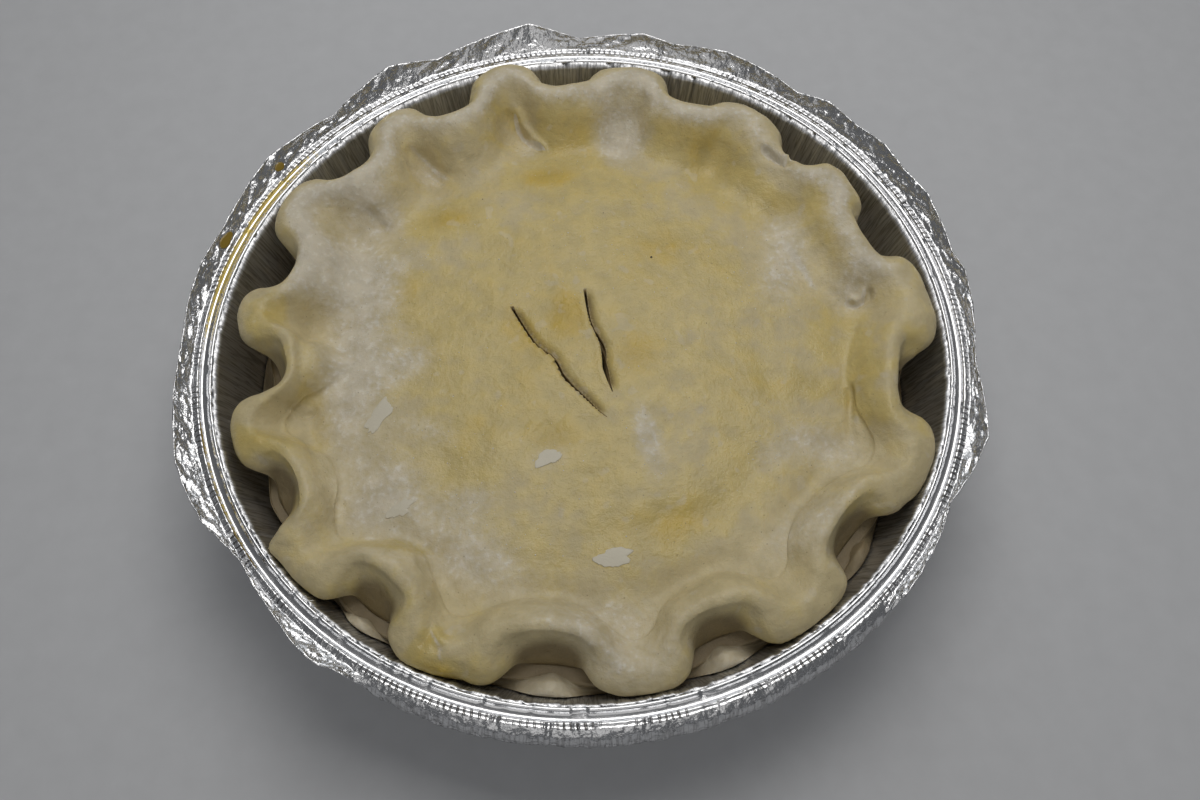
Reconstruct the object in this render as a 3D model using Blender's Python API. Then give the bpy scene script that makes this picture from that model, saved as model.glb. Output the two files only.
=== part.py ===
"""Raw chicken pot pie in a round foil pan.

Three solids make the pie: the foil pan, the bottom crust that fills it, and the
fluted top crust with two vents. The origin is the middle of the pan's underside,
+Z is up and the drooping side of the rim faces -Y.
"""

import math
from typing import NamedTuple

import bmesh
import bpy
import numpy as np

# All sizes are in millimetres; MM turns them into metres when a mesh is made.
MM = 0.001
TAU = 2 * math.pi

# Foil pan.
RIM_HEIGHT = 43.0  # underside to the top of the inner bead
RIM_RADIUS = 107.0  # inner edge of the bead
FLOOR_RADIUS = 87.0  # flat part of the floor
WALL_FOOT_RADIUS = 92.2
WALL_FOOT_HEIGHT = 4.6
FOIL = 0.6
FOOT_RUN = 2.0  # of the curve from the floor to the wall
FOOT_RISE = 1.0
LEDGE_DROP = 1.0
LEDGE_RADIUS = 110.6
RIDGE_RADIUS = 112.0
RIDGE_HALF_WIDTH = 0.6
RIDGE_DROP = 0.1  # below the bead
BEAD_DEPTH = 1.6
# Bead from the wall to the ledge, as steps out from the rim radius and below the rim.
BEAD_PROFILE = ((0.1, 0.3), (0.9, 0.0), (1.6, 0.2), (2.2, LEDGE_DROP))
PAN_SEGMENTS = 84
FIT_GAP = 0.3  # between two pieces that touch

# Outer lip: it flares up round the back and is folded down along the front.
LIP_FLARE_REACH = 3.6
LIP_FLARE_RISE = 3.8
LIP_CRUMPLE_RISE = 0.6  # height that goes with each millimetre of crumple
LIP_FRONT_SHARE = 0.45  # of the flare's rise that is left at the very front
LIP_ROOT_OUT = 0.8  # past the ridge's middle
LIP_ROOT_DROP = 0.7
LIP_FOLD_REACH = 2.4
LIP_FOLD_DROP = 7.0
LIP_FOLD_MIDDLE = math.radians(276)
LIP_FOLD_HALF_WIDTH = math.radians(32)
LIP_FOLD_EASE = math.radians(8)


class LipPeak(NamedTuple):
    """A crest or dip of the crumpled lip: its angle, and its reach past the flare."""

    angle: float
    reach: float


LIP_PEAKS = (
    LipPeak(8, 0.2),
    LipPeak(12, -1.0),
    LipPeak(22, 1.2),
    LipPeak(28, 0.3),
    LipPeak(33, 1.2),
    LipPeak(39, 0.0),
    LipPeak(45, 0.8),
    LipPeak(50, -1.6),
    LipPeak(57, 0.0),
    LipPeak(64, 0.9),
    LipPeak(73, -0.8),
    LipPeak(78, 0.7),
    LipPeak(89, -1.8),
    LipPeak(97, 3.4),
    LipPeak(108, 0.6),
    LipPeak(113, -0.8),
    LipPeak(121, 2.4),
    LipPeak(133, -1.6),
    LipPeak(146, 1.0),
    LipPeak(160, -0.8),
    LipPeak(167, 0.3),
    LipPeak(181, -0.6),
    LipPeak(199, 1.9),
    LipPeak(208, 0.6),
    LipPeak(216, -3.4),
    LipPeak(226, -1.0),
    LipPeak(232, 0.9),
    LipPeak(240, -1.4),
    LipPeak(318, -0.8),
    LipPeak(330, -3.0),
    LipPeak(341, 1.7),
    LipPeak(353, -2.4),
)


class Flute(NamedTuple):
    """One pinch of the rim, a lobe and the notch that follows it anticlockwise."""

    lobe_angle: float
    lobe_radius: float
    lobe_height: float  # of its crest, above the pan's bead
    notch_angle: float
    notch_radius: float
    notch_height: float
    roundness: float  # 0 for a plain wave, over 0.5 for a lobe wider than its neck


FLUTES = (
    Flute(102.9, 105.0, 8.0, 116.5, 89.4, 8.0, 0.30),
    Flute(126.5, 102.8, 7.5, 138.0, 90.4, 7.0, 0.30),
    Flute(150.6, 103.4, 6.5, 164.6, 88.6, 6.0, 0.35),
    Flute(174.8, 101.2, 5.5, 185.3, 84.8, 6.5, 0.50),
    Flute(196.8, 103.2, 4.0, 208.2, 91.9, 5.5, 0.40),
    Flute(221.8, 105.0, 2.5, 233.7, 89.2, 5.0, 0.50),
    Flute(246.3, 105.2, 1.5, 264.0, 90.1, 5.5, 0.50),
    Flute(277.6, 105.2, 1.0, 290.4, 90.5, 5.0, 0.50),
    Flute(304.2, 105.2, 1.5, 318.6, 91.4, 4.5, 0.50),
    Flute(333.4, 105.2, 3.0, 348.4, 91.3, 4.5, 0.45),
    Flute(5.2, 104.6, 4.5, 20.4, 91.9, 5.0, 0.40),
    Flute(31.8, 100.2, 6.0, 41.0, 91.0, 6.0, 0.35),
    Flute(55.0, 100.4, 7.0, 66.1, 90.0, 7.0, 0.30),
    Flute(78.1, 101.8, 8.0, 92.6, 91.2, 7.5, 0.35),
)


class Station(NamedTuple):
    """A ring of the rim, inside to outside, set by its place at a lobe and a notch."""

    lobe_inset: float  # inwards from the rim's edge
    notch_inset: float
    rise: float  # 0 at the valley, 1 at the crest
    lobe_drop: float  # below the crest
    notch_drop: float
    roundness: float  # share of the flute's roundness
    gather: float  # draws a lobe's sides together


RIM_STATIONS = (
    Station(28.0, 22.0, 0.00, 0.0, 0.0, 0.00, 0.15),
    Station(21.0, 16.0, 0.20, 0.0, 0.0, 0.10, 0.40),
    Station(14.0, 10.4, 0.66, 0.0, 0.0, 0.25, 0.50),
    Station(8.0, 5.0, 1.00, 0.3, 0.0, 0.45, 0.45),
    Station(2.6, 1.1, 1.00, 1.7, 0.5, 0.80, 0.15),
    Station(0.0, 0.0, 1.00, 4.4, 2.6, 1.00, -0.15),
    Station(1.6, -0.6, 1.00, 7.8, 7.0, 0.90, -0.15),
)
FRONT_TIGHTNESS = 0.3  # share by which the front of the rim is narrower than the back
VALLEY_HEIGHT = -3.5  # above the pan's bead, as the next heights are
SEAT_HEIGHT = -10.0  # where the fluted rim meets the bottom crust
LOBE_SEAT_INSET = 9.0
NOTCH_SEAT_INSET = -5.0
SEAT_INNER_RADIUS = 82.0
SLOPE_RADIUS = 58.0
SLOPE_HEIGHT = -1.9
DOME_RADIUS = 42.0
DOME_HEIGHT = -1.0
CROWN_HEIGHT = -0.4
LID_THICKNESS = 4.2
STEPS_PER_FLUTE = 10

# Bottom crust: it meets the foil high along the front and low round the back.
FRONT_CONTACT = -9.5
BACK_CONTACT = -21.0
CONTACT_START = -0.05  # sine of the angle where the contact starts to rise
BULGE_RISE = 2.6  # of the dough that swells out between the front flutes
CRUST_STEPS_PER_FLUTE = 4

# The front of the pie starts at this sine of the angle and is eased in over a spread.
FRONT_START = -0.10
FRONT_SPREAD = 0.6


class Vent(NamedTuple):
    """A knife cut through the top crust: its ends, middle and greatest width."""

    start: tuple[float, float]
    middle: tuple[float, float]
    end: tuple[float, float]
    width: float


VENTS = (
    Vent((-21.0, 10.0), (-8.5, -7.5), (6.0, -27.5), 2.0),
    Vent((1.0, 14.0), (4.0, -1.0), (8.0, -19.0), 2.2),
)
VENT_STEPS = 8
VENT_DEPTH = 9.0
VENT_TIP_WIDTH = 0.3


def wall_radius(height):
    """Inner radius of the pan's wall, a straight slope, at a height above the floor."""
    slope = (RIM_RADIUS - WALL_FOOT_RADIUS) / (RIM_HEIGHT - WALL_FOOT_HEIGHT)
    return WALL_FOOT_RADIUS + slope * (np.asarray(height) - WALL_FOOT_HEIGHT)


def smooth_step(x):
    """0 below 0, 1 above 1 and a cubic ease between."""
    x = np.clip(x, 0.0, 1.0)
    return x * x * (3 - 2 * x)


def fold_share(theta):
    """1 where the lip is folded down, 0 where it flares, and an ease between them."""
    away = np.abs((theta - LIP_FOLD_MIDDLE + math.pi) % TAU - math.pi)
    return smooth_step((LIP_FOLD_HALF_WIDTH + LIP_FOLD_EASE - away) / LIP_FOLD_EASE)


def front_share(theta, start):
    """0 behind and at the sides, eased to 1 round the front from a sine of the angle."""
    return smooth_step((start - np.sin(theta)) / FRONT_SPREAD)


def points_at(theta, radius, height):
    """XYZ rows of points given by their angle, radius and height."""
    theta, radius, height = np.broadcast_arrays(theta, radius, height)
    return np.stack([radius * np.cos(theta), radius * np.sin(theta), height], axis=-1)


def swept_mesh(name, rings, closed_loop=False):
    """Joins rings of points, an array (ring, point, xyz), into one closed mesh.

    A loop of rings closes on itself, as a tube does. Otherwise the first and the
    last ring each shrink to one point at their own centre.
    """
    mesh = bmesh.new()
    loops = [[mesh.verts.new(point * MM) for point in ring] for ring in rings]
    pairs = list(zip(loops, loops[1:]))
    if closed_loop:
        pairs.append((loops[-1], loops[0]))
    for inner, outer in pairs:
        for i, corner in enumerate(inner):
            j = (i + 1) % len(inner)
            mesh.faces.new((corner, outer[i], outer[j], inner[j]))
    if not closed_loop:
        for ring, loop in ((rings[0], loops[0]), (rings[-1], loops[-1])):
            centre = mesh.verts.new(ring.mean(axis=0) * MM)
            for i, corner in enumerate(loop):
                mesh.faces.new((centre, corner, loop[(i + 1) % len(loop)]))
    bmesh.ops.recalc_face_normals(mesh, faces=mesh.faces)
    data = bpy.data.meshes.new(name)
    mesh.to_mesh(data)
    mesh.free()
    data.shade_smooth()
    data.set_sharp_from_angle(angle=math.radians(40))
    return data


def material(name, colour, roughness, metallic=0.0):
    """A Principled finish with one colour."""
    made = bpy.data.materials.new(name)
    made.use_nodes = True
    shader = made.node_tree.nodes["Principled BSDF"]
    shader.inputs["Base Color"].default_value = (*colour, 1.0)
    shader.inputs["Roughness"].default_value = roughness
    shader.inputs["Metallic"].default_value = metallic
    return made


def place(name, data, finish):
    """Puts a mesh in the scene under its node's name."""
    made = bpy.data.objects.new(name, data)
    data.materials.append(finish)
    bpy.context.scene.collection.objects.link(made)
    return made


def lip_tip(theta):
    """Radius and height of the lip's outer edge round the pan."""
    angles = [math.radians(peak.angle) for peak in LIP_PEAKS]
    crumple = np.interp(theta, angles, [peak.reach for peak in LIP_PEAKS], period=TAU)
    folded = fold_share(theta)
    reach = (1 - folded) * (LIP_FLARE_REACH + crumple) + folded * LIP_FOLD_REACH
    back = smooth_step((1 + np.sin(theta)) / 2)
    rise = (LIP_FLARE_RISE + LIP_CRUMPLE_RISE * crumple) * (
        LIP_FRONT_SHARE + (1 - LIP_FRONT_SHARE) * back
    )
    height = (1 - folded) * rise - folded * LIP_FOLD_DROP
    return RIDGE_RADIUS + LIP_ROOT_OUT + reach, RIM_HEIGHT + height


def foil_pan():
    """Pan of pressed foil: floor, sloping wall, inner bead, ledge, ridge and lip."""
    theta = np.arange(PAN_SEGMENTS) * TAU / PAN_SEGMENTS
    tip_radius, tip_height = lip_tip(theta)
    root_radius = RIDGE_RADIUS + LIP_ROOT_OUT
    root_height = RIM_HEIGHT - LIP_ROOT_DROP
    ledge_height = RIM_HEIGHT - LEDGE_DROP
    top = [
        (FLOOR_RADIUS, FOIL),
        (WALL_FOOT_RADIUS - FOOT_RUN, FOIL + FOOT_RISE),
        (WALL_FOOT_RADIUS, WALL_FOOT_HEIGHT),
        (wall_radius(RIM_HEIGHT - BEAD_DEPTH), RIM_HEIGHT - BEAD_DEPTH),
        *((RIM_RADIUS + out, RIM_HEIGHT - drop) for out, drop in BEAD_PROFILE),
        (LEDGE_RADIUS, ledge_height),
        (RIDGE_RADIUS - RIDGE_HALF_WIDTH, RIM_HEIGHT - RIDGE_DROP),
        (root_radius, root_height),
        (tip_radius, tip_height),
    ]
    under = [
        (tip_radius - 0.5 * FOIL, tip_height - FOIL),
        (root_radius - 0.5 * FOIL, root_height - 1.2 * FOIL),
        (LEDGE_RADIUS + 0.4, ledge_height - FOIL),
        (RIM_RADIUS + BEAD_PROFILE[-1][0] - 0.5 * FOIL, ledge_height - FOIL),
        (RIM_RADIUS + FOIL, RIM_HEIGHT - BEAD_DEPTH - 0.5 * FOIL),
        (WALL_FOOT_RADIUS + FOIL, WALL_FOOT_HEIGHT - 0.3 * FOIL),
        (WALL_FOOT_RADIUS - 1.5, 0.9 * FOIL),
        (FLOOR_RADIUS + 0.4 * FOIL, 0.0),
    ]
    rings = np.array([points_at(theta, radius, height) for radius, height in top + under])
    finish = material("pressed_foil", (0.62, 0.63, 0.65), 0.24, 1.0)
    return place("foil_pan", swept_mesh("foil_pan", rings), finish)


class RimWave:
    """The rim's flutes, read at equal steps round the pie.

    Each half of a flute runs from a lobe to a notch with a phase from 0 to pi. The
    share of the notch is (1 - cos phase) / 2, and the angle moves from the lobe's to
    the notch's by (phase + roundness sin 2 phase - gather sin phase) / pi.
    """

    def __init__(self, steps_per_flute):
        count = len(FLUTES)
        step = np.arange(count * steps_per_flute)
        along = step / steps_per_flute
        this = step // steps_per_flute
        fraction = along - this
        second_half = fraction >= 0.5
        lobe = np.where(second_half, (this + 1) % count, this)
        table = np.array(FLUTES)
        self.phase = np.where(second_half, 2 - 2 * fraction, 2 * fraction) * math.pi
        self.notch_share = (1 - np.cos(self.phase)) / 2
        lobe_angle, notch_angle = np.radians(table[lobe, 0]), np.radians(table[this, 3])
        self.lobe_angle = lobe_angle
        self.half_width = (notch_angle - lobe_angle + math.pi) % TAU - math.pi
        self.lobe_radius, self.notch_radius = table[lobe, 1], table[this, 4]
        self.lobe_height, self.notch_height = table[lobe, 2], table[this, 5]
        self.roundness = (table[lobe, 6] + table[this, 6]) / 2

    def angle(self, roundness, gather):
        """Angle of each step on a ring with this share of roundness and gather."""
        turn = self.phase + roundness * self.roundness * np.sin(2 * self.phase)
        turn = turn - gather * np.sin(self.phase)
        return self.lobe_angle + self.half_width * turn / math.pi

    def mix(self, at_lobe, at_notch):
        """A value that waves between a lobe's and a notch's."""
        return at_lobe + (at_notch - at_lobe) * self.notch_share

    def crest_height(self):
        """Height of the rim's crest above the pan's bead."""
        return self.mix(self.lobe_height, self.notch_height)

    def ring(self, station):
        """XYZ rows of one ring of the rim."""
        tight = 1 - FRONT_TIGHTNESS * front_share(self.angle(0.0, 0.0), FRONT_START)
        radius = self.mix(
            self.lobe_radius - station.lobe_inset * tight,
            self.notch_radius - station.notch_inset * tight,
        )
        rise = station.rise * (self.crest_height() - VALLEY_HEIGHT)
        drop = self.mix(station.lobe_drop, station.notch_drop)
        height = VALLEY_HEIGHT + rise - drop
        return points_at(
            self.angle(station.roundness, station.gather), radius, RIM_HEIGHT + height
        )

    def seat_radius(self):
        """Radius of the ring where the rim meets the bottom crust."""
        return self.mix(
            self.lobe_radius - LOBE_SEAT_INSET, self.notch_radius - NOTCH_SEAT_INSET
        )


def lid_surface():
    """Radius and height of the top crust inside its rim, from the valley inwards."""
    return (
        (SLOPE_RADIUS, SLOPE_HEIGHT),
        (DOME_RADIUS, DOME_HEIGHT),
        (DOME_RADIUS / 2, CROWN_HEIGHT),
    )


def top_crust():
    """Fluted top crust: a thin lid with a thick pinched rim that overhangs its seat."""
    wave = RimWave(STEPS_PER_FLUTE)
    plain_angle = wave.angle(0.0, 0.0)
    rings = [
        points_at(plain_angle, radius, RIM_HEIGHT + height)
        for radius, height in reversed(lid_surface())
    ]
    rings += [wave.ring(station) for station in RIM_STATIONS]
    rings.append(points_at(plain_angle, wave.seat_radius(), RIM_HEIGHT + SEAT_HEIGHT))
    rings.append(points_at(plain_angle, SEAT_INNER_RADIUS, RIM_HEIGHT + SEAT_HEIGHT))
    for radius, height in lid_surface():
        under = RIM_HEIGHT + height - LID_THICKNESS
        rings.append(points_at(plain_angle, radius, under))
    finish = material("raw_top_dough", (0.72, 0.60, 0.40), 0.5)
    return place("top_crust", swept_mesh("top_crust", np.array(rings)), finish)


def bottom_crust():
    """Bottom crust, solid through the hidden inside, up to the underside of the lid."""
    wave = RimWave(CRUST_STEPS_PER_FLUTE)
    theta = wave.angle(0.0, 0.0)
    front = front_share(theta, CONTACT_START)
    contact = BACK_CONTACT + (FRONT_CONTACT - BACK_CONTACT) * front
    contact_height = RIM_HEIGHT + contact
    wall = wall_radius(contact_height) - FIT_GAP
    seat = RIM_HEIGHT + SEAT_HEIGHT - FIT_GAP
    seat_edge = wave.seat_radius() + FIT_GAP
    bulge = seat + (contact_height - seat) * (1 - front)
    bulge = bulge + BULGE_RISE * front * wave.notch_share
    foot = WALL_FOOT_RADIUS - FIT_GAP
    floor = FOIL + FIT_GAP
    outline = [
        (FLOOR_RADIUS - FIT_GAP, floor),
        (foot - FOOT_RUN, floor + FOOT_RISE),
        (foot, WALL_FOOT_HEIGHT),
        (wall, contact_height),
        ((2 * wall + seat_edge) / 3, bulge),
        (seat_edge, seat),
        (SEAT_INNER_RADIUS - 1.0, seat),
    ]
    for radius, height in lid_surface():
        under = RIM_HEIGHT + height - LID_THICKNESS - FIT_GAP
        outline.append((radius, under))
    rings = np.array([points_at(theta, radius, height) for radius, height in outline])
    finish = material("raw_bottom_dough", (0.76, 0.66, 0.50), 0.6)
    return place("bottom_crust", swept_mesh("bottom_crust", rings), finish)


def vent_cutter(name, vent):
    """Lens-shaped blade along a curve through the vent's start, middle and end."""
    share = np.linspace(0.0, 1.0, VENT_STEPS + 1)[:, None]
    start, middle, end = (np.array(corner) for corner in vent[:3])
    control = 2 * middle - (start + end) / 2
    path = (1 - share) ** 2 * start + 2 * share * (1 - share) * control + share**2 * end
    run = np.gradient(path, axis=0)
    side = np.stack([-run[:, 1], run[:, 0]], axis=1)
    side /= np.linalg.norm(side, axis=1, keepdims=True)
    width = VENT_TIP_WIDTH + (vent.width - VENT_TIP_WIDTH) * np.sin(math.pi * share)
    edge = np.concatenate([path + side * width / 2, (path - side * width / 2)[::-1]])
    bottom = np.full((len(edge), 1), RIM_HEIGHT + CROWN_HEIGHT - VENT_DEPTH)
    top = np.full((len(edge), 1), RIM_HEIGHT + CROWN_HEIGHT + VENT_DEPTH)
    cutter = bmesh.new()
    low, high = (
        [cutter.verts.new(point * MM) for point in np.hstack([edge, level])]
        for level in (bottom, top)
    )
    cutter.faces.new(low)
    cutter.faces.new(high)
    for i, corner in enumerate(low):
        j = (i + 1) % len(low)
        cutter.faces.new((corner, low[j], high[j], high[i]))
    bmesh.ops.recalc_face_normals(cutter, faces=cutter.faces)
    data = bpy.data.meshes.new(name)
    cutter.to_mesh(data)
    cutter.free()
    made = bpy.data.objects.new(name, data)
    bpy.context.scene.collection.objects.link(made)
    made.hide_render = True
    made.display_type = "WIRE"
    return made


def cut_vents(crusts):
    """Cuts both vents through the lid and a little way into what lies under it."""
    for number, vent in enumerate(VENTS, start=1):
        cutter = vent_cutter(f"vent_cutter_{number}", vent)
        for crust in crusts:
            cut = crust.modifiers.new(f"vent_{number}", "BOOLEAN")
            cut.operation = "DIFFERENCE"
            cut.solver = "EXACT"
            cut.object = cutter


def main():
    """Clears the scene and builds the pan and the two crusts."""
    for old in list(bpy.data.objects):
        bpy.data.objects.remove(old)
    foil_pan()
    cut_vents([bottom_crust(), top_crust()])


main()
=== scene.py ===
"""Looks of a raw chicken pot pie in its foil pan.

The pan, the two crusts, the egg wash, the flakes and the flour are surfaces worked
out with numpy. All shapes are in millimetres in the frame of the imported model, with
the origin at the middle of the pan's underside, and turn into metres as meshes.
"""

import logging
import math
from dataclasses import dataclass
from enum import Enum
from typing import NamedTuple

import bpy
import numpy as np
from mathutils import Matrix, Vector


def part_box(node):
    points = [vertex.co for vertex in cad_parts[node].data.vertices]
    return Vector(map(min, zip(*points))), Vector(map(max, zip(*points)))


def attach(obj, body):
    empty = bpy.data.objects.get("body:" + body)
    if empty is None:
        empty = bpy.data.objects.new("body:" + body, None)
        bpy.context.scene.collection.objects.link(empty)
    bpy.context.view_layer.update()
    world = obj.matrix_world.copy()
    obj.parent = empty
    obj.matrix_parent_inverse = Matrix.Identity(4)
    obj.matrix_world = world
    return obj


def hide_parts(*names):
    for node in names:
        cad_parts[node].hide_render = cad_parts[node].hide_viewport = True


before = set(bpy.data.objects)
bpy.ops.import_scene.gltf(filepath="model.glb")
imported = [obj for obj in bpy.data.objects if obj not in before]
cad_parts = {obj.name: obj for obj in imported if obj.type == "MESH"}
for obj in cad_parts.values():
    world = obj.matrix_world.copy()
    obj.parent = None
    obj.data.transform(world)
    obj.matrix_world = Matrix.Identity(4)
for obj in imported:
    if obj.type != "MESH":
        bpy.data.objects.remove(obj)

MM = 0.001
TAU = 2 * math.pi
BODY = "root"
RIM_HEIGHT = 43.0  # underside to the top of the pan's bead

Array = np.ndarray
Colour = tuple[float, float, float]
log = logging.getLogger("pot_pie")


class Slot(Enum):
    """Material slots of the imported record."""

    FOIL = "foil"
    TOP_DOUGH = "top_dough"
    BOTTOM_DOUGH = "bottom_dough"


# ---------------------------------------------------------------- number helpers


def smooth_step(x: Array) -> Array:
    """Cubic ease, 3 x squared less 2 x cubed, held at 0 and 1 outside its range."""
    x = np.clip(x, 0.0, 1.0)
    return x * x * (3 - 2 * x)


def window(x: Array, start: float, rise: float, end: float, fall: float) -> Array:
    """1 between two places and 0 outside them, with an ease over `rise` and one over `fall`."""
    return smooth_step((x - start) / rise) * smooth_step((end - x) / fall)


def hump(x: Array, middle: float, half_width: float, power: int = 2) -> Array:
    """e to the minus distance from the middle, in half widths, to a power."""
    return np.exp(-(((x - middle) / half_width) ** power))


def hashed(cells: Array, seed: int) -> Array:
    """Repeatable number from -1 to 1 for each row of whole numbers.

    Args:
        cells: whole numbers, with the coordinates along the last axis.
        seed: picks one of many independent fields.

    Returns:
        One number for each row: the scrambled bits of the weighted sum of a row.
    """
    primes = np.array([73856093, 19349663, 83492791], dtype=np.uint64)
    cells = cells.astype(np.int64).astype(np.uint64)
    mixed = (cells * primes[: cells.shape[-1]]).sum(axis=-1, dtype=np.uint64)
    mixed = mixed + np.uint64(seed * 2654435761 % 2**32)
    for shift, factor in ((33, 0xFF51AFD7ED558CCD), (29, 0xC4CEB9FE1A85EC53)):
        mixed = (mixed ^ (mixed >> np.uint64(shift))) * np.uint64(factor)
    mixed = mixed ^ (mixed >> np.uint64(32))
    return (mixed & np.uint64(0xFFFFFF)).astype(float) / 0x7FFFFF - 1.0


def noise(points: Array, cell: float, seed: int) -> Array:
    """Smooth noise from -1 to 1: hashed corner values of a cube lattice, eased between.

    Args:
        points: XYZ rows, in millimetres.
        cell: side of a lattice cube.
        seed: picks the field.
    """
    scaled = points / cell
    low = np.floor(scaled)
    share = smooth_step(scaled - low)
    total = np.zeros(points.shape[:-1])
    for corner in np.ndindex(2, 2, 2):
        weight = np.prod(np.where(corner, share, 1 - share), axis=-1)
        total += weight * hashed(low + np.array(corner), seed)
    return total


def fractal(points: Array, cell: float, octaves: int, seed: int) -> Array:
    """Sum of noises, each with half the last one's cell and half its size."""
    total = np.zeros(points.shape[:-1])
    for octave in range(octaves):
        total += noise(points, cell / 2**octave, seed + octave) / 2**octave
    return total


def facets(along: Array, across: Array, around: int, seed: int) -> Array:
    """Crumpled-foil relief from -1 to 1, flat triangles that meet in sharp creases.

    Args:
        along: place round the pan in cells; the field repeats every `around` cells.
        across: place across the sheet in cells.
        around: whole number of cells in a turn.
        seed: picks the field.

    Returns:
        Heights of a plane through the hashed corners of each lattice triangle.
    """
    column, row = np.floor(along), np.floor(across)
    u, v = along - column, across - row

    def corner(i: int, j: int) -> Array:
        """Hashed height of the corner i cells along and j cells across."""
        cell = np.stack([(column + i) % around, row + j + 500.0], axis=-1)
        return hashed(cell, seed)

    upper = u + v > 1
    near = corner(0, 0) * (1 - u - v) + corner(1, 0) * u + corner(0, 1) * v
    far = corner(1, 1) * (u + v - 1) + corner(0, 1) * (1 - u) + corner(1, 0) * (1 - v)
    return np.where(upper, far, near)


def smooth_through(values: Array, places: Array) -> Array:
    """Catmull-Rom curve through rows of values, read at fractional row numbers."""
    last = len(values) - 1
    low = np.clip(np.floor(places).astype(int), 0, last - 1)
    t = (places - low).reshape((-1,) + (1,) * (values.ndim - 1))
    before, start = values[np.maximum(low - 1, 0)], values[low]
    end, after = values[low + 1], values[np.minimum(low + 2, last)]
    out, back = (end - before) / 2, (after - start) / 2
    return (
        (2 * t**3 - 3 * t**2 + 1) * start
        + (t**3 - 2 * t**2 + t) * out
        + (3 * t**2 - 2 * t**3) * end
        + (t**3 - t**2) * back
    )


def polar(angle: Array, radius: Array, height: Array) -> Array:
    """XYZ rows of points given by angle, radius and height."""
    angle, radius, height = np.broadcast_arrays(angle, radius, height)
    return np.stack([radius * np.cos(angle), radius * np.sin(angle), height], axis=-1)


def grid_normals(points: Array) -> Array:
    """Unit normals of rings of points: the step outwards crossed with the step round."""
    out = np.gradient(points, axis=0)
    round_ = np.roll(points, -1, axis=1) - np.roll(points, 1, axis=1)
    normal = np.cross(out, round_)
    length = np.linalg.norm(normal, axis=-1, keepdims=True)
    return normal / np.maximum(length, 1e-9)


def path_offset(xy: Array, path: Array) -> tuple[Array, Array]:
    """Distance to a path of straight runs, and how far along it the nearest point is.

    Args:
        xy: points in plan.
        path: corners of the path in plan.

    Returns:
        The signed distance, positive on the left, and the share of the path from 0 to 1.
    """
    best = np.full(xy.shape[:-1], np.inf)
    side, share = np.zeros_like(best), np.zeros_like(best)
    runs = np.diff(path, axis=0)
    lengths = np.linalg.norm(runs, axis=1)
    done = np.concatenate([[0.0], np.cumsum(lengths)])
    for start, run, length, before in zip(path, runs, lengths, done):
        rel = xy - start
        t = np.clip((rel @ run) / length**2, 0.0, 1.0)
        gap = rel - t[..., None] * run
        distance = np.linalg.norm(gap, axis=-1)
        turn = np.sign(run[0] * rel[..., 1] - run[1] * rel[..., 0])
        closer = distance < best
        best = np.where(closer, distance, best)
        side = np.where(closer, turn, side)
        share = np.where(closer, (before + t * length) / done[-1], share)
    return best * side, share


# ---------------------------------------------------------------- mesh helpers


def blobs_mesh(name: str, blocks: Array) -> bpy.types.Object:
    """One smooth mesh of closed blobs that share one layout.

    Args:
        name: the piece's name.
        blocks: millimetres, as (blob, ring, point round the ring, xyz); the first and
            last ring of each blob are filled to their middles.

    Returns:
        The object, with its faces pointing out of rings that run from the top down.
    """
    blobs, count, around = blocks.shape[:3]
    here = np.arange(count * around).reshape(count, around)
    step = np.roll(here, -1, axis=1)
    quads = np.stack([here[:-1], here[1:], step[1:], step[:-1]], axis=-1).reshape(-1, 4)
    each = count * around + 2
    top = np.stack([np.full(around, each - 2), here[0], step[0]], axis=-1)
    bottom = np.stack([np.full(around, each - 1), step[-1], here[-1]], axis=-1)
    ends = np.stack([blocks[:, 0].mean(axis=1), blocks[:, -1].mean(axis=1)], axis=1)
    points = np.concatenate([blocks.reshape(blobs, -1, 3), ends], axis=1).reshape(-1, 3)
    shift = (np.arange(blobs) * each)[:, None, None]
    quads = (quads[None] + shift).reshape(-1, 4).tolist()
    caps = (np.concatenate([top, bottom])[None] + shift).reshape(-1, 3).tolist()
    made = bpy.data.meshes.new(name)
    made.from_pydata(points * MM, [], quads + caps)
    made.shade_smooth()
    placed = bpy.data.objects.new(name, made)
    bpy.context.scene.collection.objects.link(placed)
    return placed


def grid_mesh(name: str, rings: Array, masks: dict[str, Array] | None = None) -> bpy.types.Object:
    """Closed mesh through rings of points, each end ring filled to its middle.

    Args:
        name: the piece's name.
        rings: millimetres, as (ring, point round the ring, xyz).
        masks: a value for each point of `rings`, kept as float attributes.
    """
    placed = blobs_mesh(name, rings[None])
    for label, values in (masks or {}).items():
        layer = placed.data.attributes.new(label, "FLOAT", "POINT")
        flat = np.concatenate([values.reshape(-1), [values[0].mean(), values[-1].mean()]])
        layer.data.foreach_set("value", flat.astype(np.float32))
    return placed


def dress(piece: bpy.types.Object, slot: Slot, *finishes: bpy.types.Material) -> None:
    """Gives a piece its materials and the body that it rides on."""
    for finish in finishes:
        piece.data.materials.append(finish)
    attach(piece, BODY)


# ---------------------------------------------------------------- finishes


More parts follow.
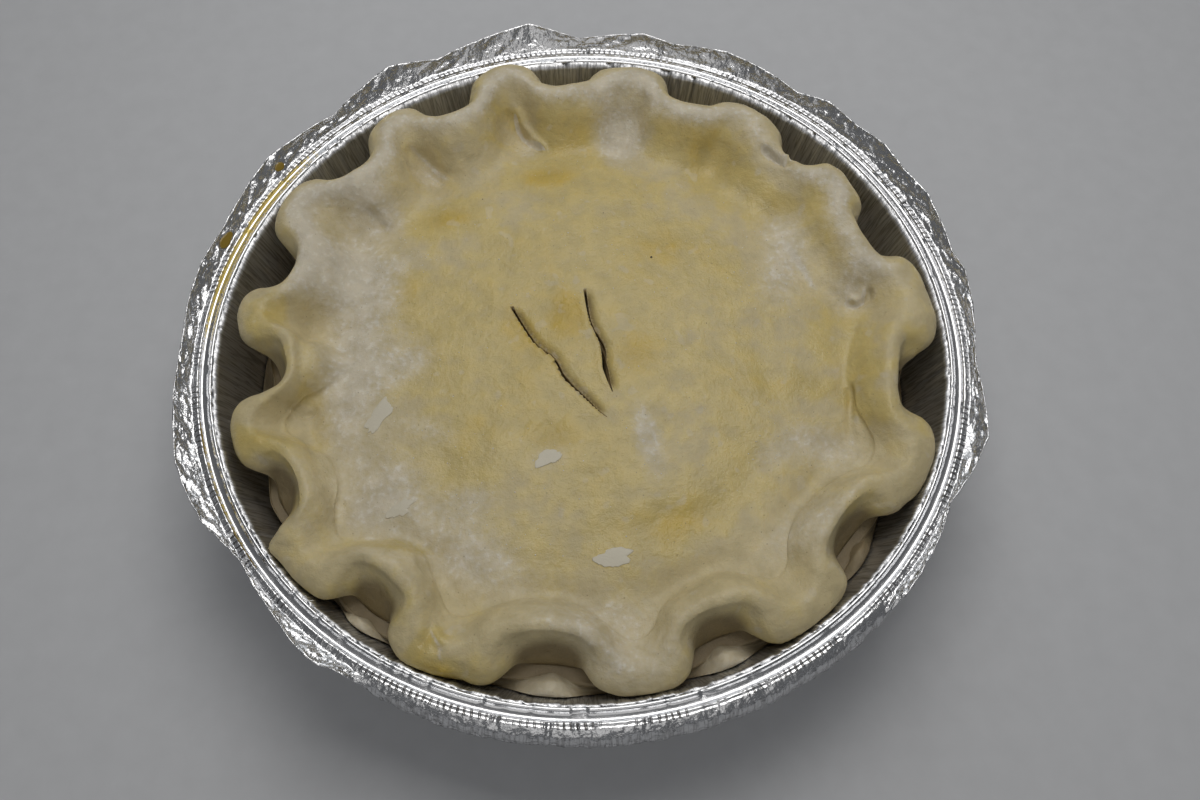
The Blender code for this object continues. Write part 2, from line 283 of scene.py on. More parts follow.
class Graph:
    """A material's node tree, with short calls for the nodes used here."""

    def __init__(self, name: str) -> None:
        """Makes the material and keeps its Principled shader."""
        self.material = bpy.data.materials.new(name)
        self.material.use_nodes = True
        self.tree = self.material.node_tree
        self.shader = self.tree.nodes["Principled BSDF"]

    def node(self, kind: str, **settings: object) -> bpy.types.Node:
        """Adds a node and sets its properties."""
        made = self.tree.nodes.new(kind)
        for key, value in settings.items():
            setattr(made, key, value)
        return made

    def feed(self, socket: bpy.types.NodeSocket, value: object) -> None:
        """Links a socket to another, or sets it to a plain value."""
        if isinstance(value, bpy.types.NodeSocket):
            self.tree.links.new(value, socket)
        else:
            socket.default_value = value

    def math(self, kind: str, a: object, b: object = 0.0) -> bpy.types.NodeSocket:
        """One sum of two values."""
        made = self.node("ShaderNodeMath", operation=kind)
        self.feed(made.inputs[0], a)
        self.feed(made.inputs[1], b)
        return made.outputs[0]

    def ramp(self, value: object, low: float, high: float, to: float = 1.0) -> object:
        """Smooth ramp from 0 at `low` to `to` at `high`."""
        made = self.node("ShaderNodeMapRange", interpolation_type="SMOOTHSTEP")
        self.feed(made.inputs["Value"], value)
        for key, number in (("From Min", low), ("From Max", high), ("To Max", to)):
            made.inputs[key].default_value = number
        return made.outputs[0]

    def mix(self, share: object, a: object, b: object) -> bpy.types.NodeSocket:
        """Blend of two colours."""
        made = self.node("ShaderNodeMix", data_type="RGBA")
        self.feed(made.inputs[0], share)
        for socket, value in ((made.inputs[6], a), (made.inputs[7], b)):
            self.feed(socket, (*value, 1.0) if isinstance(value, tuple) else value)
        return made.outputs[2]

    def blend(self, share: object, a: object, b: object) -> bpy.types.NodeSocket:
        """Blend of two numbers."""
        made = self.node("ShaderNodeMix", data_type="FLOAT")
        for socket, value in zip((made.inputs[0], made.inputs[2], made.inputs[3]), (share, a, b)):
            self.feed(socket, value)
        return made.outputs[0]

    def noise(self, place: object, cell: float, detail: float = 2.0) -> bpy.types.NodeSocket:
        """Noise from 0 to 1 whose lumps are `cell` millimetres across."""
        made = self.node("ShaderNodeTexNoise")
        self.feed(made.inputs["Vector"], place)
        made.inputs["Scale"].default_value = 1 / (cell * MM)
        made.inputs["Detail"].default_value = detail
        return made.outputs[0]

    def swing(self, noise: object, size: float) -> bpy.types.NodeSocket:
        """A noise from 0 to 1, moved and scaled to swing by half of `size` about 0."""
        return self.math("MULTIPLY", self.math("SUBTRACT", noise, 0.5), size)

    def vector(self, x: object, y: object, z: object = 0.0) -> bpy.types.NodeSocket:
        """A vector of three values."""
        made = self.node("ShaderNodeCombineXYZ")
        for socket, value in zip(made.inputs, (x, y, z)):
            self.feed(socket, value)
        return made.outputs[0]

    def mask(self, name: str) -> bpy.types.NodeSocket:
        """A float attribute of the mesh."""
        return self.node("ShaderNodeAttribute", attribute_name=name).outputs["Fac"]

    def place(self) -> bpy.types.NodeSocket:
        """Object coordinates."""
        return self.node("ShaderNodeTexCoord").outputs["Object"]

    def bump(self, height: object, depth: float, after: object = None) -> bpy.types.NodeSocket:
        """Bump of `depth` millimetres, laid over another normal if one is given."""
        made = self.node("ShaderNodeBump")
        made.inputs["Distance"].default_value = depth * MM
        self.feed(made.inputs["Height"], height)
        if after is not None:
            self.feed(made.inputs["Normal"], after)
        return made.outputs[0]


@dataclass(frozen=True)
class DoughFinish:
    """Raw pastry: plain dough with yellow egg wash and grey flour over it.

    Wash and flour follow the piece's masks, broken up by noise: their edges are ramps
    over the mask plus a share of the noise. Cells and depths are in millimetres.
    """

    name: str
    plain: Colour
    glazed: Colour
    washed: Colour
    floured: Colour
    # Painted shade: this dark brown is mixed in where the mask is high, in place of the shade in
    # recesses and beside the vents.
    painted_shade: Colour = (0.20, 0.145, 0.07)
    chalk: Colour = (0.77, 0.725, 0.62)
    speck: Colour = (0.20, 0.14, 0.07)
    plain_roughness: float = 0.50
    washed_roughness: float = 0.30
    floured_roughness: float = 0.72
    specular: float = 0.42
    subsurface: float = 0.08
    subsurface_depth: float = 1.6
    subsurface_spread: Colour = (1.0, 0.65, 0.35)
    specks: float = 0.5
    speck_cell: float = 3.1
    pale_cell: float = 5.0
    wide_cell: float = 24.0
    wide_swing: float = 1.6
    lump_cell: float = 6.0
    lump_swing: float = 0.65
    lump_depth: float = 0.50
    curd_cell: float = 1.6
    curd_swing: float = 1.1
    curd_depth: float = 0.22
    grain_cell: float = 0.45
    grain_depth: float = 0.11

    def cover(self, g: Graph, lumps: object, curds: object) -> tuple[object, object, object]:
        """Shares of thin glaze, thick wash and flour at each point."""
        spread = g.swing(g.noise(g.place(), self.wide_cell, 3.0), self.wide_swing)
        broken, dusty = g.swing(lumps, self.lump_swing), g.swing(curds, self.curd_swing)
        wash = g.math("ADD", g.mask("wash"), g.math("ADD", spread, broken))
        wash = g.math("SUBTRACT", wash, g.math("MULTIPLY", dusty, 0.12))
        ragged = g.math("ADD", g.math("ADD", broken, dusty), g.math("ADD", spread, 1.0))
        flour = g.ramp(g.math("MULTIPLY", g.mask("flour"), ragged), 0.12, 0.72, 0.92)
        pale = g.ramp(g.noise(g.place(), self.pale_cell, 1.0), 0.66, 0.74, 0.30)
        thin, thick = g.ramp(wash, 0.0, 0.42), g.ramp(wash, 0.40, 1.35)
        return thin, thick, g.math("MAXIMUM", flour, pale)

    def tinted(self, g: Graph, colour: object, lumps: object, curds: object) -> object:
        """The colour times a tone that lumps and curds lighten and darken a little."""
        tone = g.blend(g.ramp(lumps, 0.25, 0.75), 0.86, 1.06)
        tone = g.math("MULTIPLY", tone, g.blend(curds, 0.95, 1.05))
        tint = g.node("ShaderNodeVectorMath", operation="SCALE")
        g.feed(tint.inputs[0], colour)
        g.feed(tint.inputs["Scale"], tone)
        return tint.outputs[0]

    def speckled(self, g: Graph, colour: object) -> object:
        """The colour with a small dark speck near the middle of each cell."""
        spots = g.node("ShaderNodeTexVoronoi")
        g.feed(spots.inputs["Vector"], g.place())
        spots.inputs["Scale"].default_value = 1 / (self.speck_cell * MM)
        dark = g.ramp(spots.outputs["Distance"], 0.085, 0.035, self.specks)
        return g.mix(dark, colour, self.speck)

    def make(self) -> bpy.types.Material:
        """Builds the material."""
        g = Graph(self.name)
        lumps = g.noise(g.place(), self.lump_cell, 4.0)
        curds = g.noise(g.place(), self.curd_cell, 3.0)
        grain = g.noise(g.place(), self.grain_cell, 2.0)
        glaze, wash, flour = self.cover(g, lumps, curds)
        colour = g.mix(wash, g.mix(glaze, self.plain, self.glazed), self.washed)
        colour = g.mix(flour, colour, self.floured)
        powder = g.math("MULTIPLY", g.ramp(curds, 0.54, 0.68), g.ramp(flour, 0.45, 0.90, 0.55))
        colour = g.mix(powder, colour, self.chalk)
        # Painted shade: the colour is pulled towards the dark brown where the mesh's shade mask is
        # high.
        colour = g.mix(g.ramp(g.mask("painted_shade"), 0.0, 1.0, 0.85), colour, self.painted_shade)
        colour = self.speckled(g, self.tinted(g, colour, lumps, curds))
        rough = g.blend(glaze, self.plain_roughness, self.washed_roughness)
        rough = g.blend(flour, rough, self.floured_roughness)
        normal = g.bump(lumps, self.lump_depth)
        normal = g.bump(curds, self.curd_depth, normal)
        normal = g.bump(grain, self.grain_depth, normal)
        for socket, value in (
            ("Base Color", colour),
            ("Roughness", rough),
            ("Subsurface Weight", self.subsurface),
            ("Subsurface Radius", self.subsurface_spread),
            ("Subsurface Scale", self.subsurface_depth * MM),
            ("Specular IOR Level", self.specular),
            ("Normal", normal),
        ):
            g.feed(g.shader.inputs[socket], value)
        return g.material


@dataclass(frozen=True)
class FoilFinish:
    """Thin pressed aluminium with fine creases that run up and down the wall.

    The crease pattern reads the angle round the pan times its radius, the height and
    the radius, so that it follows the pressed sheet.
    """

    name: str
    metal: Colour = (0.70, 0.705, 0.72)
    # Painted shade: darker metal colour in the creases and nicks.
    crease_shade: Colour = (0.26, 0.255, 0.25)
    egg: Colour = (0.68, 0.53, 0.15)
    roughness: float = 0.20
    satin: float = 0.42
    smudge: float = 0.08
    radius: float = 107.0
    bead_end: float = 111.6
    skirt_top: float = 42.5
    ridge_start: float = 110.5
    ridge_end: float = 112.7
    nicks_round: float = 390.0
    nick_depth: float = 0.25
    crease_cell: float = 1.1
    crease_run: float = 0.06  # creases are 1 over this times longer than they are wide
    crease_depth: float = 0.22
    crumple_cell: float = 1.3
    crumple_depth: float = 0.12

    def nicks(self, g: Graph, turn: object, reach: object) -> bpy.types.NodeSocket:
        """Dashes across the ridge, dented and painted dark as shade: peaks of a sine of the angle,
        unevenly spaced.
        """
        drift = g.math("MULTIPLY", g.noise(g.place(), 7.0, 2.0), 9.0)
        beat = g.math("SINE", g.math("ADD", g.math("MULTIPLY", turn, self.nicks_round), drift))
        start = g.ramp(reach, self.ridge_start * MM, (self.ridge_start + 0.4) * MM)
        end = g.ramp(reach, self.ridge_end * MM, (self.ridge_end - 0.4) * MM)
        shown = g.ramp(g.noise(g.place(), 14.0, 1.0), 0.36, 0.60)
        zone = g.math("MULTIPLY", g.math("MULTIPLY", start, end), shown)
        return g.math("MULTIPLY", g.ramp(beat, 0.35, 0.95), zone)

    def zones(self, g: Graph, reach: object, height: object) -> tuple[object, object, object]:
        """Shares of the wall's inside, of the lip outside the bead, and of pressed folds."""
        outside = g.ramp(reach, self.bead_end * MM, (self.bead_end + 0.8) * MM)
        inside = g.ramp(reach, self.radius * MM, (self.radius - 0.5) * MM)
        hung = g.ramp(height, self.skirt_top * MM, (self.skirt_top - 2.0) * MM)
        drawn = g.math("MAXIMUM", outside, inside)
        return inside, outside, g.math("MULTIPLY", drawn, g.math("MAXIMUM", inside, hung))

    def make(self) -> bpy.types.Material:
        """Builds the material."""
        g = Graph(self.name)
        at = g.node("ShaderNodeSeparateXYZ")
        g.feed(at.inputs[0], g.place())
        x, y, height = at.outputs[:3]
        turn = g.math("ARCTAN2", y, x)
        flat = g.node("ShaderNodeVectorMath", operation="LENGTH")
        g.feed(flat.inputs[0], g.vector(x, y))
        reach = flat.outputs["Value"]
        sheet = g.vector(
            g.math("MULTIPLY", turn, self.radius * MM),
            g.math("MULTIPLY", height, self.crease_run),
            g.math("MULTIPLY", reach, self.crease_run),
        )
        creases = g.noise(sheet, self.crease_cell, 3.0)
        sharp = g.math("ABSOLUTE", g.math("SUBTRACT", creases, 0.5))
        inside, outside, pressed = self.zones(g, reach, height)
        nicks = self.nicks(g, turn, reach)
        # Painted shade: the creases and nicks are coloured as darker metal.
        streaks = g.math("MULTIPLY", g.ramp(sharp, 0.075, 0.0, 0.6), pressed)
        metal = g.mix(g.math("MAXIMUM", streaks, nicks), self.metal, self.crease_shade)
        egg = g.ramp(g.math("ADD", g.mask("wash"), g.math("SUBTRACT", creases, 0.5)), 0.3, 0.7)
        g.feed(g.shader.inputs["Base Color"], g.mix(egg, metal, self.egg))
        g.feed(g.shader.inputs["Metallic"], g.blend(egg, 1.0, 0.35))
        smudges = g.ramp(g.noise(g.place(), 9.0, 4.0), 0.35, 0.75)
        rough = g.blend(inside, self.roughness, self.satin)
        rough = g.math("ADD", rough, g.math("MULTIPLY", smudges, self.smudge))
        g.feed(g.shader.inputs["Roughness"], rough)
        crumple = g.noise(g.place(), self.crumple_cell, 3.0)
        crumple = g.math("MULTIPLY", crumple, g.blend(outside, 0.3, 3.4))
        normal = g.bump(g.math("MULTIPLY", sharp, g.blend(pressed, 0.12, 1.0)), self.crease_depth)
        normal = g.bump(crumple, self.crumple_depth, normal)
        normal = g.bump(nicks, self.nick_depth, normal)
        g.feed(g.shader.inputs["Normal"], normal)
        return g.material


@dataclass(frozen=True)
class PlainFinish:
    """One colour with a fine grain, for floor, crumbs and drops."""

    name: str
    colour: Colour
    roughness: float
    grain: float = 0.5
    grain_depth: float = 0.03
    coat: float = 0.0

    def make(self) -> bpy.types.Material:
        """Builds the material."""
        g = Graph(self.name)
        lumps = g.noise(g.place(), self.grain, 3.0)
        low = tuple(0.9 * part for part in self.colour)
        g.feed(g.shader.inputs["Base Color"], g.mix(lumps, low, self.colour))
        g.shader.inputs["Roughness"].default_value = self.roughness
        g.shader.inputs["Coat Weight"].default_value = self.coat
        g.feed(g.shader.inputs["Normal"], g.bump(lumps, self.grain_depth))
        return g.material


TOP_FINISH = DoughFinish(
    name="raw_top_dough",
    plain=(0.635, 0.535, 0.305),
    glazed=(0.61, 0.49, 0.20),
    washed=(0.56, 0.40, 0.075),
    floured=(0.68, 0.62, 0.495),
)
BOTTOM_FINISH = DoughFinish(
    name="raw_bottom_dough",
    plain=(0.62, 0.54, 0.37),
    glazed=(0.58, 0.48, 0.28),
    washed=(0.55, 0.44, 0.20),
    floured=(0.66, 0.61, 0.50),
    specks=0.2,
)
# Painted shade: a darker copy of the dough for the walls of the vent cuts.
CUT_SHADE_FINISH = DoughFinish(
    name="cut_dough_painted_shade",
    plain=(0.42, 0.32, 0.16),
    glazed=(0.40, 0.30, 0.13),
    washed=(0.36, 0.26, 0.10),
    floured=(0.42, 0.34, 0.18),
    specks=0.0,
)
FOIL_FINISH = FoilFinish(name="pressed_foil")
EGG_FINISH = PlainFinish("egg_wash", (0.30, 0.20, 0.025), 0.28, grain_depth=0.01, coat=0.4)
FLAKE_FINISH = PlainFinish("dry_flake", (0.68, 0.63, 0.50), 0.5)
FLOUR_FINISH = PlainFinish("flour_grain", (0.80, 0.77, 0.68), 0.8)
SPECK_FINISH = PlainFinish("pepper_speck", (0.05, 0.04, 0.03), 0.6)
FLOOR_FINISH = PlainFinish("pale_floor", (0.62, 0.63, 0.65), 0.55, grain=8.0)


# ---------------------------------------------------------------- foil pan


class LipPeak(NamedTuple):
    """A crest or dip of the crumpled lip: its angle, and its reach past the flare."""

    angle: float
    reach: float


@dataclass
class FoilPan:
    """Pressed foil pan: floor, sloping wall, rolled bead, ledge, ridge and lip.

    The sheet is a profile carried round the axis. Creases, nicks and crumples move it
    along its own normal, both faces alike, so that the foil keeps its thickness. The
    bead is steps out from the rim radius and up from the rim. A run of rings is its
    first and last row in the profile, and how many rings it has.
    """

    rim_radius: float = 107.0
    floor_radius: float = 87.0
    wall_foot_radius: float = 92.2
    wall_foot_height: float = 4.6
    foil: float = 0.26
    ledge_drop: float = 1.0
    ledge_radius: float = 110.6
    ridge_radius: float = 112.0
    flare_reach: float = 3.6
    flare_rise: float = 3.8
    crumple_rise: float = 0.6  # height that goes with each millimetre of crumple
    front_share: float = 0.45  # of the flare's rise that is left at the very front
    root_out: float = 0.8  # where the lip starts, past the ridge
    root_drop: float = 0.6
    bead: tuple[tuple[float, float], ...] = ((-0.1, -0.8), (0.5, -0.1), (1.1, -0.4))
    lip_middle: tuple[float, float] = (0.50, 0.42)  # shares of the lip's reach and rise
    fold_shift: tuple[float, float] = (0.22, -0.08)  # of those shares where it folds
    fold_reach: float = 2.4
    fold_drop: float = 6.7
    fold_middle: float = math.radians(276)
    fold_half_width: float = math.radians(32)
    fold_ease: float = math.radians(8)
    clearance: float = 0.85
    pleat_depth: float = 0.34
    fine_depth: float = 0.20
    nick_depth: float = 0.75
    dash_depth: float = 0.80
    ridge_ripple: float = 0.06
    crumple_depth: float = 0.45
    skirt_depth: float = 0.55
    segments: int = 1440
    crumple_cells: int = 160
    upper_runs: tuple[tuple[float, float, int], ...] = (
        (0.0, 3.0, 4),
        (3.4, 6.0, 6),
        (6.3, 10.0, 12),
        (10.35, 14.0, 11),
        (14.2, 16.0, 12),
    )
    lower_runs: tuple[tuple[float, float, int], ...] = (
        (16.0, 14.0, 6),
        (13.3, 6.5, 6),
        (6.0, 3.3, 5),
        (3.0, 0.0, 4),
    )
    peaks: tuple[LipPeak, ...] = (
        LipPeak(8, 0.2), LipPeak(12, -1.0), LipPeak(22, 1.2), LipPeak(28, 0.3),
        LipPeak(33, 1.2), LipPeak(39, 0.0), LipPeak(45, 0.8), LipPeak(50, -1.6),
        LipPeak(57, 0.0), LipPeak(64, 0.9), LipPeak(73, -0.8), LipPeak(78, 0.7),
        LipPeak(89, -1.8), LipPeak(97, 3.4), LipPeak(108, 0.6), LipPeak(113, -0.8),
        LipPeak(121, 2.4), LipPeak(133, -1.6), LipPeak(146, 1.0), LipPeak(160, -0.8),
        LipPeak(167, 0.3), LipPeak(181, -0.6), LipPeak(199, 1.9), LipPeak(208, 0.6),
        LipPeak(216, -3.4), LipPeak(226, -1.0), LipPeak(232, 0.9), LipPeak(240, -1.4),
        LipPeak(318, -0.8), LipPeak(330, -3.0), LipPeak(341, 1.7), LipPeak(353, -2.4),
    )

    def wall_radius(self, height: Array | float) -> Array | float:
        """Inner radius of the straight sloping wall at a height."""
        slope = (self.rim_radius - self.wall_foot_radius) / (RIM_HEIGHT - self.wall_foot_height)
        return self.wall_foot_radius + slope * (height - self.wall_foot_height)

    def held(self, points: Array) -> Array:
        """Points drawn in, where they need it, to stay clear of the creased wall."""
        reach = np.hypot(points[..., 0], points[..., 1])
        limit = self.wall_radius(points[..., 2]) - self.clearance
        share = np.minimum(1.0, limit / np.maximum(reach, 1e-6))
        return points * np.stack([share, share, np.ones_like(share)], axis=-1)

    def fold_share(self, theta: Array) -> Array:
        """1 where the lip is folded down, 0 where it flares, eased between."""
        away = np.abs((theta - self.fold_middle + math.pi) % TAU - math.pi)
        return smooth_step((self.fold_half_width + self.fold_ease - away) / self.fold_ease)

    def lip_tip(self, theta: Array) -> tuple[Array, Array]:
        """Radius and height of the lip's edge: straight runs between the peaks."""
        angles = np.radians([peak.angle for peak in self.peaks])
        crumple = np.interp(theta, angles, [peak.reach for peak in self.peaks], period=TAU)
        folded = self.fold_share(theta)
        reach = (1 - folded) * (self.flare_reach + crumple) + folded * self.fold_reach
        back = smooth_step((1 + np.sin(theta)) / 2)
        front = self.front_share
        rise = (self.flare_rise + self.crumple_rise * crumple) * (front + (1 - front) * back)
        height = (1 - folded) * rise - folded * self.fold_drop
        return self.ridge_radius + self.root_out + reach, RIM_HEIGHT + height

    def profile(self, theta: Array) -> Array:
        """The sheet's outline from floor to lip, as (station, angle, xyz)."""
        tip_radius, tip_height = self.lip_tip(theta)
        ledge = RIM_HEIGHT - self.ledge_drop
        root_radius = self.ridge_radius + self.root_out
        root_height = RIM_HEIGHT - self.root_drop
        folded = self.fold_share(theta)
        reach, rise = (
            at + shift * folded for at, shift in zip(self.lip_middle, self.fold_shift)
        )
        middle_radius = root_radius + (tip_radius - root_radius) * reach
        middle_height = root_height + (tip_height - root_height) * rise
        stations = (
            (self.floor_radius * 0.5, 0.5 * self.foil),
            (self.floor_radius, 0.5 * self.foil),
            (self.wall_foot_radius - 2.0, 1.2),
            (self.wall_foot_radius - 0.1, self.wall_foot_height),
            (self.wall_radius(RIM_HEIGHT / 2), RIM_HEIGHT / 2),
            (self.wall_radius(RIM_HEIGHT - 2.2), RIM_HEIGHT - 2.2),
            *((self.rim_radius + out, RIM_HEIGHT + up) for out, up in self.bead),
            (self.rim_radius + 1.6, ledge),
            (self.ledge_radius - 0.4, ledge - 0.15),
            (self.ledge_radius + 0.1, ledge + 0.5),
            (self.ridge_radius - 0.9, RIM_HEIGHT - 0.1),
            (self.ridge_radius - 0.1, RIM_HEIGHT - 0.3),
            (root_radius, root_height),
            (middle_radius, middle_height),
            (tip_radius, tip_height),
        )
        return np.array([polar(theta, radius, height) for radius, height in stations])

    def relief(self, theta: Array, place: Array) -> Array:
        """How far the sheet is pushed along its normal.

        Args:
            theta: angles round the pan.
            place: row in the profile's spline, one for each ring.

        Returns:
            Millimetres for each ring and angle: pleats where the sheet was drawn in,
            which are ridged noise of the angle, nicks in the bead, dashes in the ridge
            and flat facets of three sizes on the lip.
        """
        theta, place = np.broadcast_arrays(theta, place[:, None])
        circle = polar(theta, self.rim_radius, 2.4 * place)
        pleat = 1 - 2 * np.abs(noise(circle, 3.2, 11))
        fine = 1 - 2 * np.abs(noise(circle, 1.5, 12))
        nick = np.minimum(0.34 - noise(polar(theta, self.rim_radius, 0.0), 1.7, 13), 0.0)
        dash = np.minimum(0.25 - noise(polar(theta, self.rim_radius, 9.0), 2.1, 14), 0.0)
        wall = window(place, 2.6, 0.8, 6.6, 1.0)
        bead = window(place, 6.3, 0.5, 9.2, 0.5)
        ridge = window(place, 10.4, 0.8, 14.6, 0.6)
        lip = smooth_step((place - 13.8) / 1.2)
        folded = self.fold_share(theta)
        along, crumpled = theta / TAU * self.crumple_cells, 0.0
        for times, rows, size, seed in ((1, 1.7, 1.0, 21), (2, 3.1, 0.5, 22), (4, 6.0, 0.4, 23)):
            cells = self.crumple_cells * times
            crumpled = crumpled + size * facets(along * times, place * rows, cells, seed)
        skirt = 0.6 * pleat + 0.55 * fine
        moved = wall * (self.pleat_depth * pleat + self.fine_depth * fine)
        moved = moved + bead * self.nick_depth * nick
        moved = moved + ridge * (self.ridge_ripple * fine + self.dash_depth * dash)
        outer = (1 - folded) * self.crumple_depth * crumpled + folded * self.skirt_depth * skirt
        return moved + lip * outer

    def sheet(self, theta: Array, place: Array) -> tuple[Array, Array]:
        """Middle of the foil and its normal at each ring and angle."""
        smooth = smooth_through(self.profile(theta), place)
        normal = grid_normals(smooth)
        pushed = smooth + normal * self.relief(theta, place)[..., None]
        return pushed, grid_normals(pushed)

    def egg_mask(self, theta: Array, place: Array) -> Array:
        """Share of dried egg wash on the foil: a streak on the ridge at the left."""
        theta, place = np.broadcast_arrays(theta, place[:, None])
        degrees = np.degrees(theta)
        streak = hump(degrees, 160, 21, 4) * hump(place, 10.4, 1.6)
        trace = hump(degrees, 205, 12, 4) * hump(place, 10.8, 1.0)
        return 0.95 * streak + 0.55 * trace

    def build(self) -> bpy.types.Object:
        """Makes the pan: the upper face out to the lip, then the lower face back in."""
        theta = np.arange(self.segments) * TAU / self.segments
        upper, lower = (
            np.concatenate([np.linspace(*run) for run in runs])
            for runs in (self.upper_runs, self.lower_runs)
        )
        top, top_normal = self.sheet(theta, upper)
        under, under_normal = self.sheet(theta, lower[::-1])
        top = top + top_normal * self.foil / 2
        under = (under - under_normal * self.foil / 2)[::-1]
        under[..., 2] = np.maximum(under[..., 2], 0.0)
        rings = np.concatenate([top, under])
        wash = self.egg_mask(theta, np.concatenate([upper, lower]))
        wash[len(upper):] = 0.0
        pan = grid_mesh("pressed_foil_pan", rings, {"wash": wash})
        dress(pan, Slot.FOIL, FOIL_FINISH.make())
        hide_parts("foil_pan")
        return pan


class EggStreak(NamedTuple):
    """Egg wash on the rim: its first and last angle, row on the sheet, and size."""

    start: float
    end: float
    place: float
    half_width: float
    depth: float


@dataclass
class EggOnRim:
    """Drops and runs of egg wash that dried on the foil rim.

    Each is a grid along the rim whose height is a half circle across, times an eased
    end at each side, and whose width is broken up by noise.
    """

    pan: FoilPan
    lift: float = 0.12  # of the egg's edge above the foil
    sunk: float = 0.1  # of its sole below the foil's middle
    along: int = 60
    across: int = 9
    streaks: tuple[EggStreak, ...] = (
        EggStreak(159.6, 162.8, 14.8, 0.75, 0.16),
        EggStreak(144.8, 146.6, 14.7, 0.50, 0.14),
        EggStreak(193.0, 199.0, 11.3, 0.30, 0.10),
        EggStreak(204.0, 218.0, 11.5, 0.26, 0.10),
    )

    def blob(self, streak: EggStreak, seed: int) -> Array:
        """Rings of one closed strip of egg: its crown, and its sole on the foil."""
        theta = np.radians(np.linspace(streak.start, streak.end, self.along))
        ends = np.sin(np.linspace(0.0, math.pi, self.along)) ** 0.5
        wobble = 1 + 0.45 * noise(polar(theta, self.pan.rim_radius, 0.0), 3.0, seed)
        side = np.linspace(-1.0, 1.0, self.across)
        width = streak.half_width * np.maximum(ends * wobble, 0.02)
        place = streak.place + side[:, None] * width[None, :]
        crown = np.sqrt(np.maximum(1 - side**2, 0.0))[:, None] * ends[None, :]
        top = along_profile(self.pan.profile(theta), place)
        normal = np.cross(np.gradient(top, axis=0), np.gradient(top, axis=1))
        normal /= np.maximum(np.linalg.norm(normal, axis=-1, keepdims=True), 1e-9)
        lift = self.pan.foil / 2 + self.lift
        upper = top + normal * (lift + streak.depth * crown)[..., None]
        lower = top - normal * self.sunk
        return np.concatenate([upper, lower[::-1]])

    def build(self) -> bpy.types.Object:
        """Joins the strips into one mesh."""
        blocks = np.array([self.blob(streak, 31 + i) for i, streak in enumerate(self.streaks)])
        made = blobs_mesh("egg_on_rim", np.swapaxes(blocks, 1, 2)[:, :, ::-1])
        dress(made, Slot.FOIL, EGG_FINISH.make())
        return made


def along_profile(rows: Array, place: Array) -> Array:
    """Straight runs between stations, read at a row of its own for each point.

    Args:
        rows: the profile, as (station, point, xyz).
        place: fractional rows, with the points along the last axis.
    """
    low = np.clip(np.floor(place).astype(int), 0, len(rows) - 2)
    share = (place - low)[..., None]
    point = np.arange(rows.shape[1])
    return rows[low, point] * (1 - share) + rows[low + 1, point] * share


# ---------------------------------------------------------------- crusts


class Flute(NamedTuple):
    """One pinch of the rim, a lobe and the notch that follows it anticlockwise."""

    lobe_angle: float
    lobe_radius: float
    lobe_height: float  # of its crest, above the pan's bead
    notch_angle: float
    notch_radius: float
    notch_height: float
    roundness: float  # 0 for a plain wave, over 0.5 for a lobe wider than its neck
    tuck: float  # how far the notch's foot lies outside its edge


FLUTES = (
    Flute(102.9, 105.0, 8.0, 116.5, 89.4, 8.0, 0.30, -0.8),
    Flute(126.5, 102.8, 7.5, 138.0, 90.4, 7.0, 0.30, -0.8),
    Flute(150.6, 103.4, 6.5, 164.6, 88.6, 6.0, 0.35, -0.8),
    Flute(174.8, 101.2, 5.5, 185.3, 84.8, 6.5, 0.50, 5.0),
    Flute(196.8, 103.2, 4.0, 208.2, 90.9, 5.5, 0.45, 6.5),
    Flute(221.8, 105.0, 2.5, 233.7, 89.2, 5.0, 0.50, 8.5),
    Flute(246.3, 105.2, 1.5, 264.0, 90.1, 5.5, 0.50, 4.5),
    Flute(277.6, 105.2, 1.0, 290.4, 90.5, 5.0, 0.50, 4.0),
    Flute(304.2, 105.2, 1.5, 318.6, 91.4, 4.5, 0.50, 4.0),
    Flute(333.4, 105.2, 3.0, 348.4, 91.3, 4.5, 0.45, 1.0),
    Flute(5.2, 104.6, 4.5, 20.4, 91.9, 5.0, 0.50, -0.8),
    Flute(31.8, 100.2, 6.0, 41.0, 91.0, 6.0, 0.35, -0.8),
    Flute(55.0, 100.4, 7.0, 66.1, 90.0, 7.0, 0.30, -0.8),
    Flute(78.1, 101.8, 8.0, 92.6, 91.2, 7.5, 0.35, -0.8),
)


class Station(NamedTuple):
    """A ring of the rim, inside to outside, set by its place at a lobe and a notch."""

    lobe_inset: float  # inwards from the rim's edge
    notch_inset: float
    rise: float  # 0 at the valley, 1 at the crest
    lobe_drop: float  # below the crest
    notch_drop: float
    roundness: float  # share of the flute's roundness
    gather: float  # draws a lobe's sides together


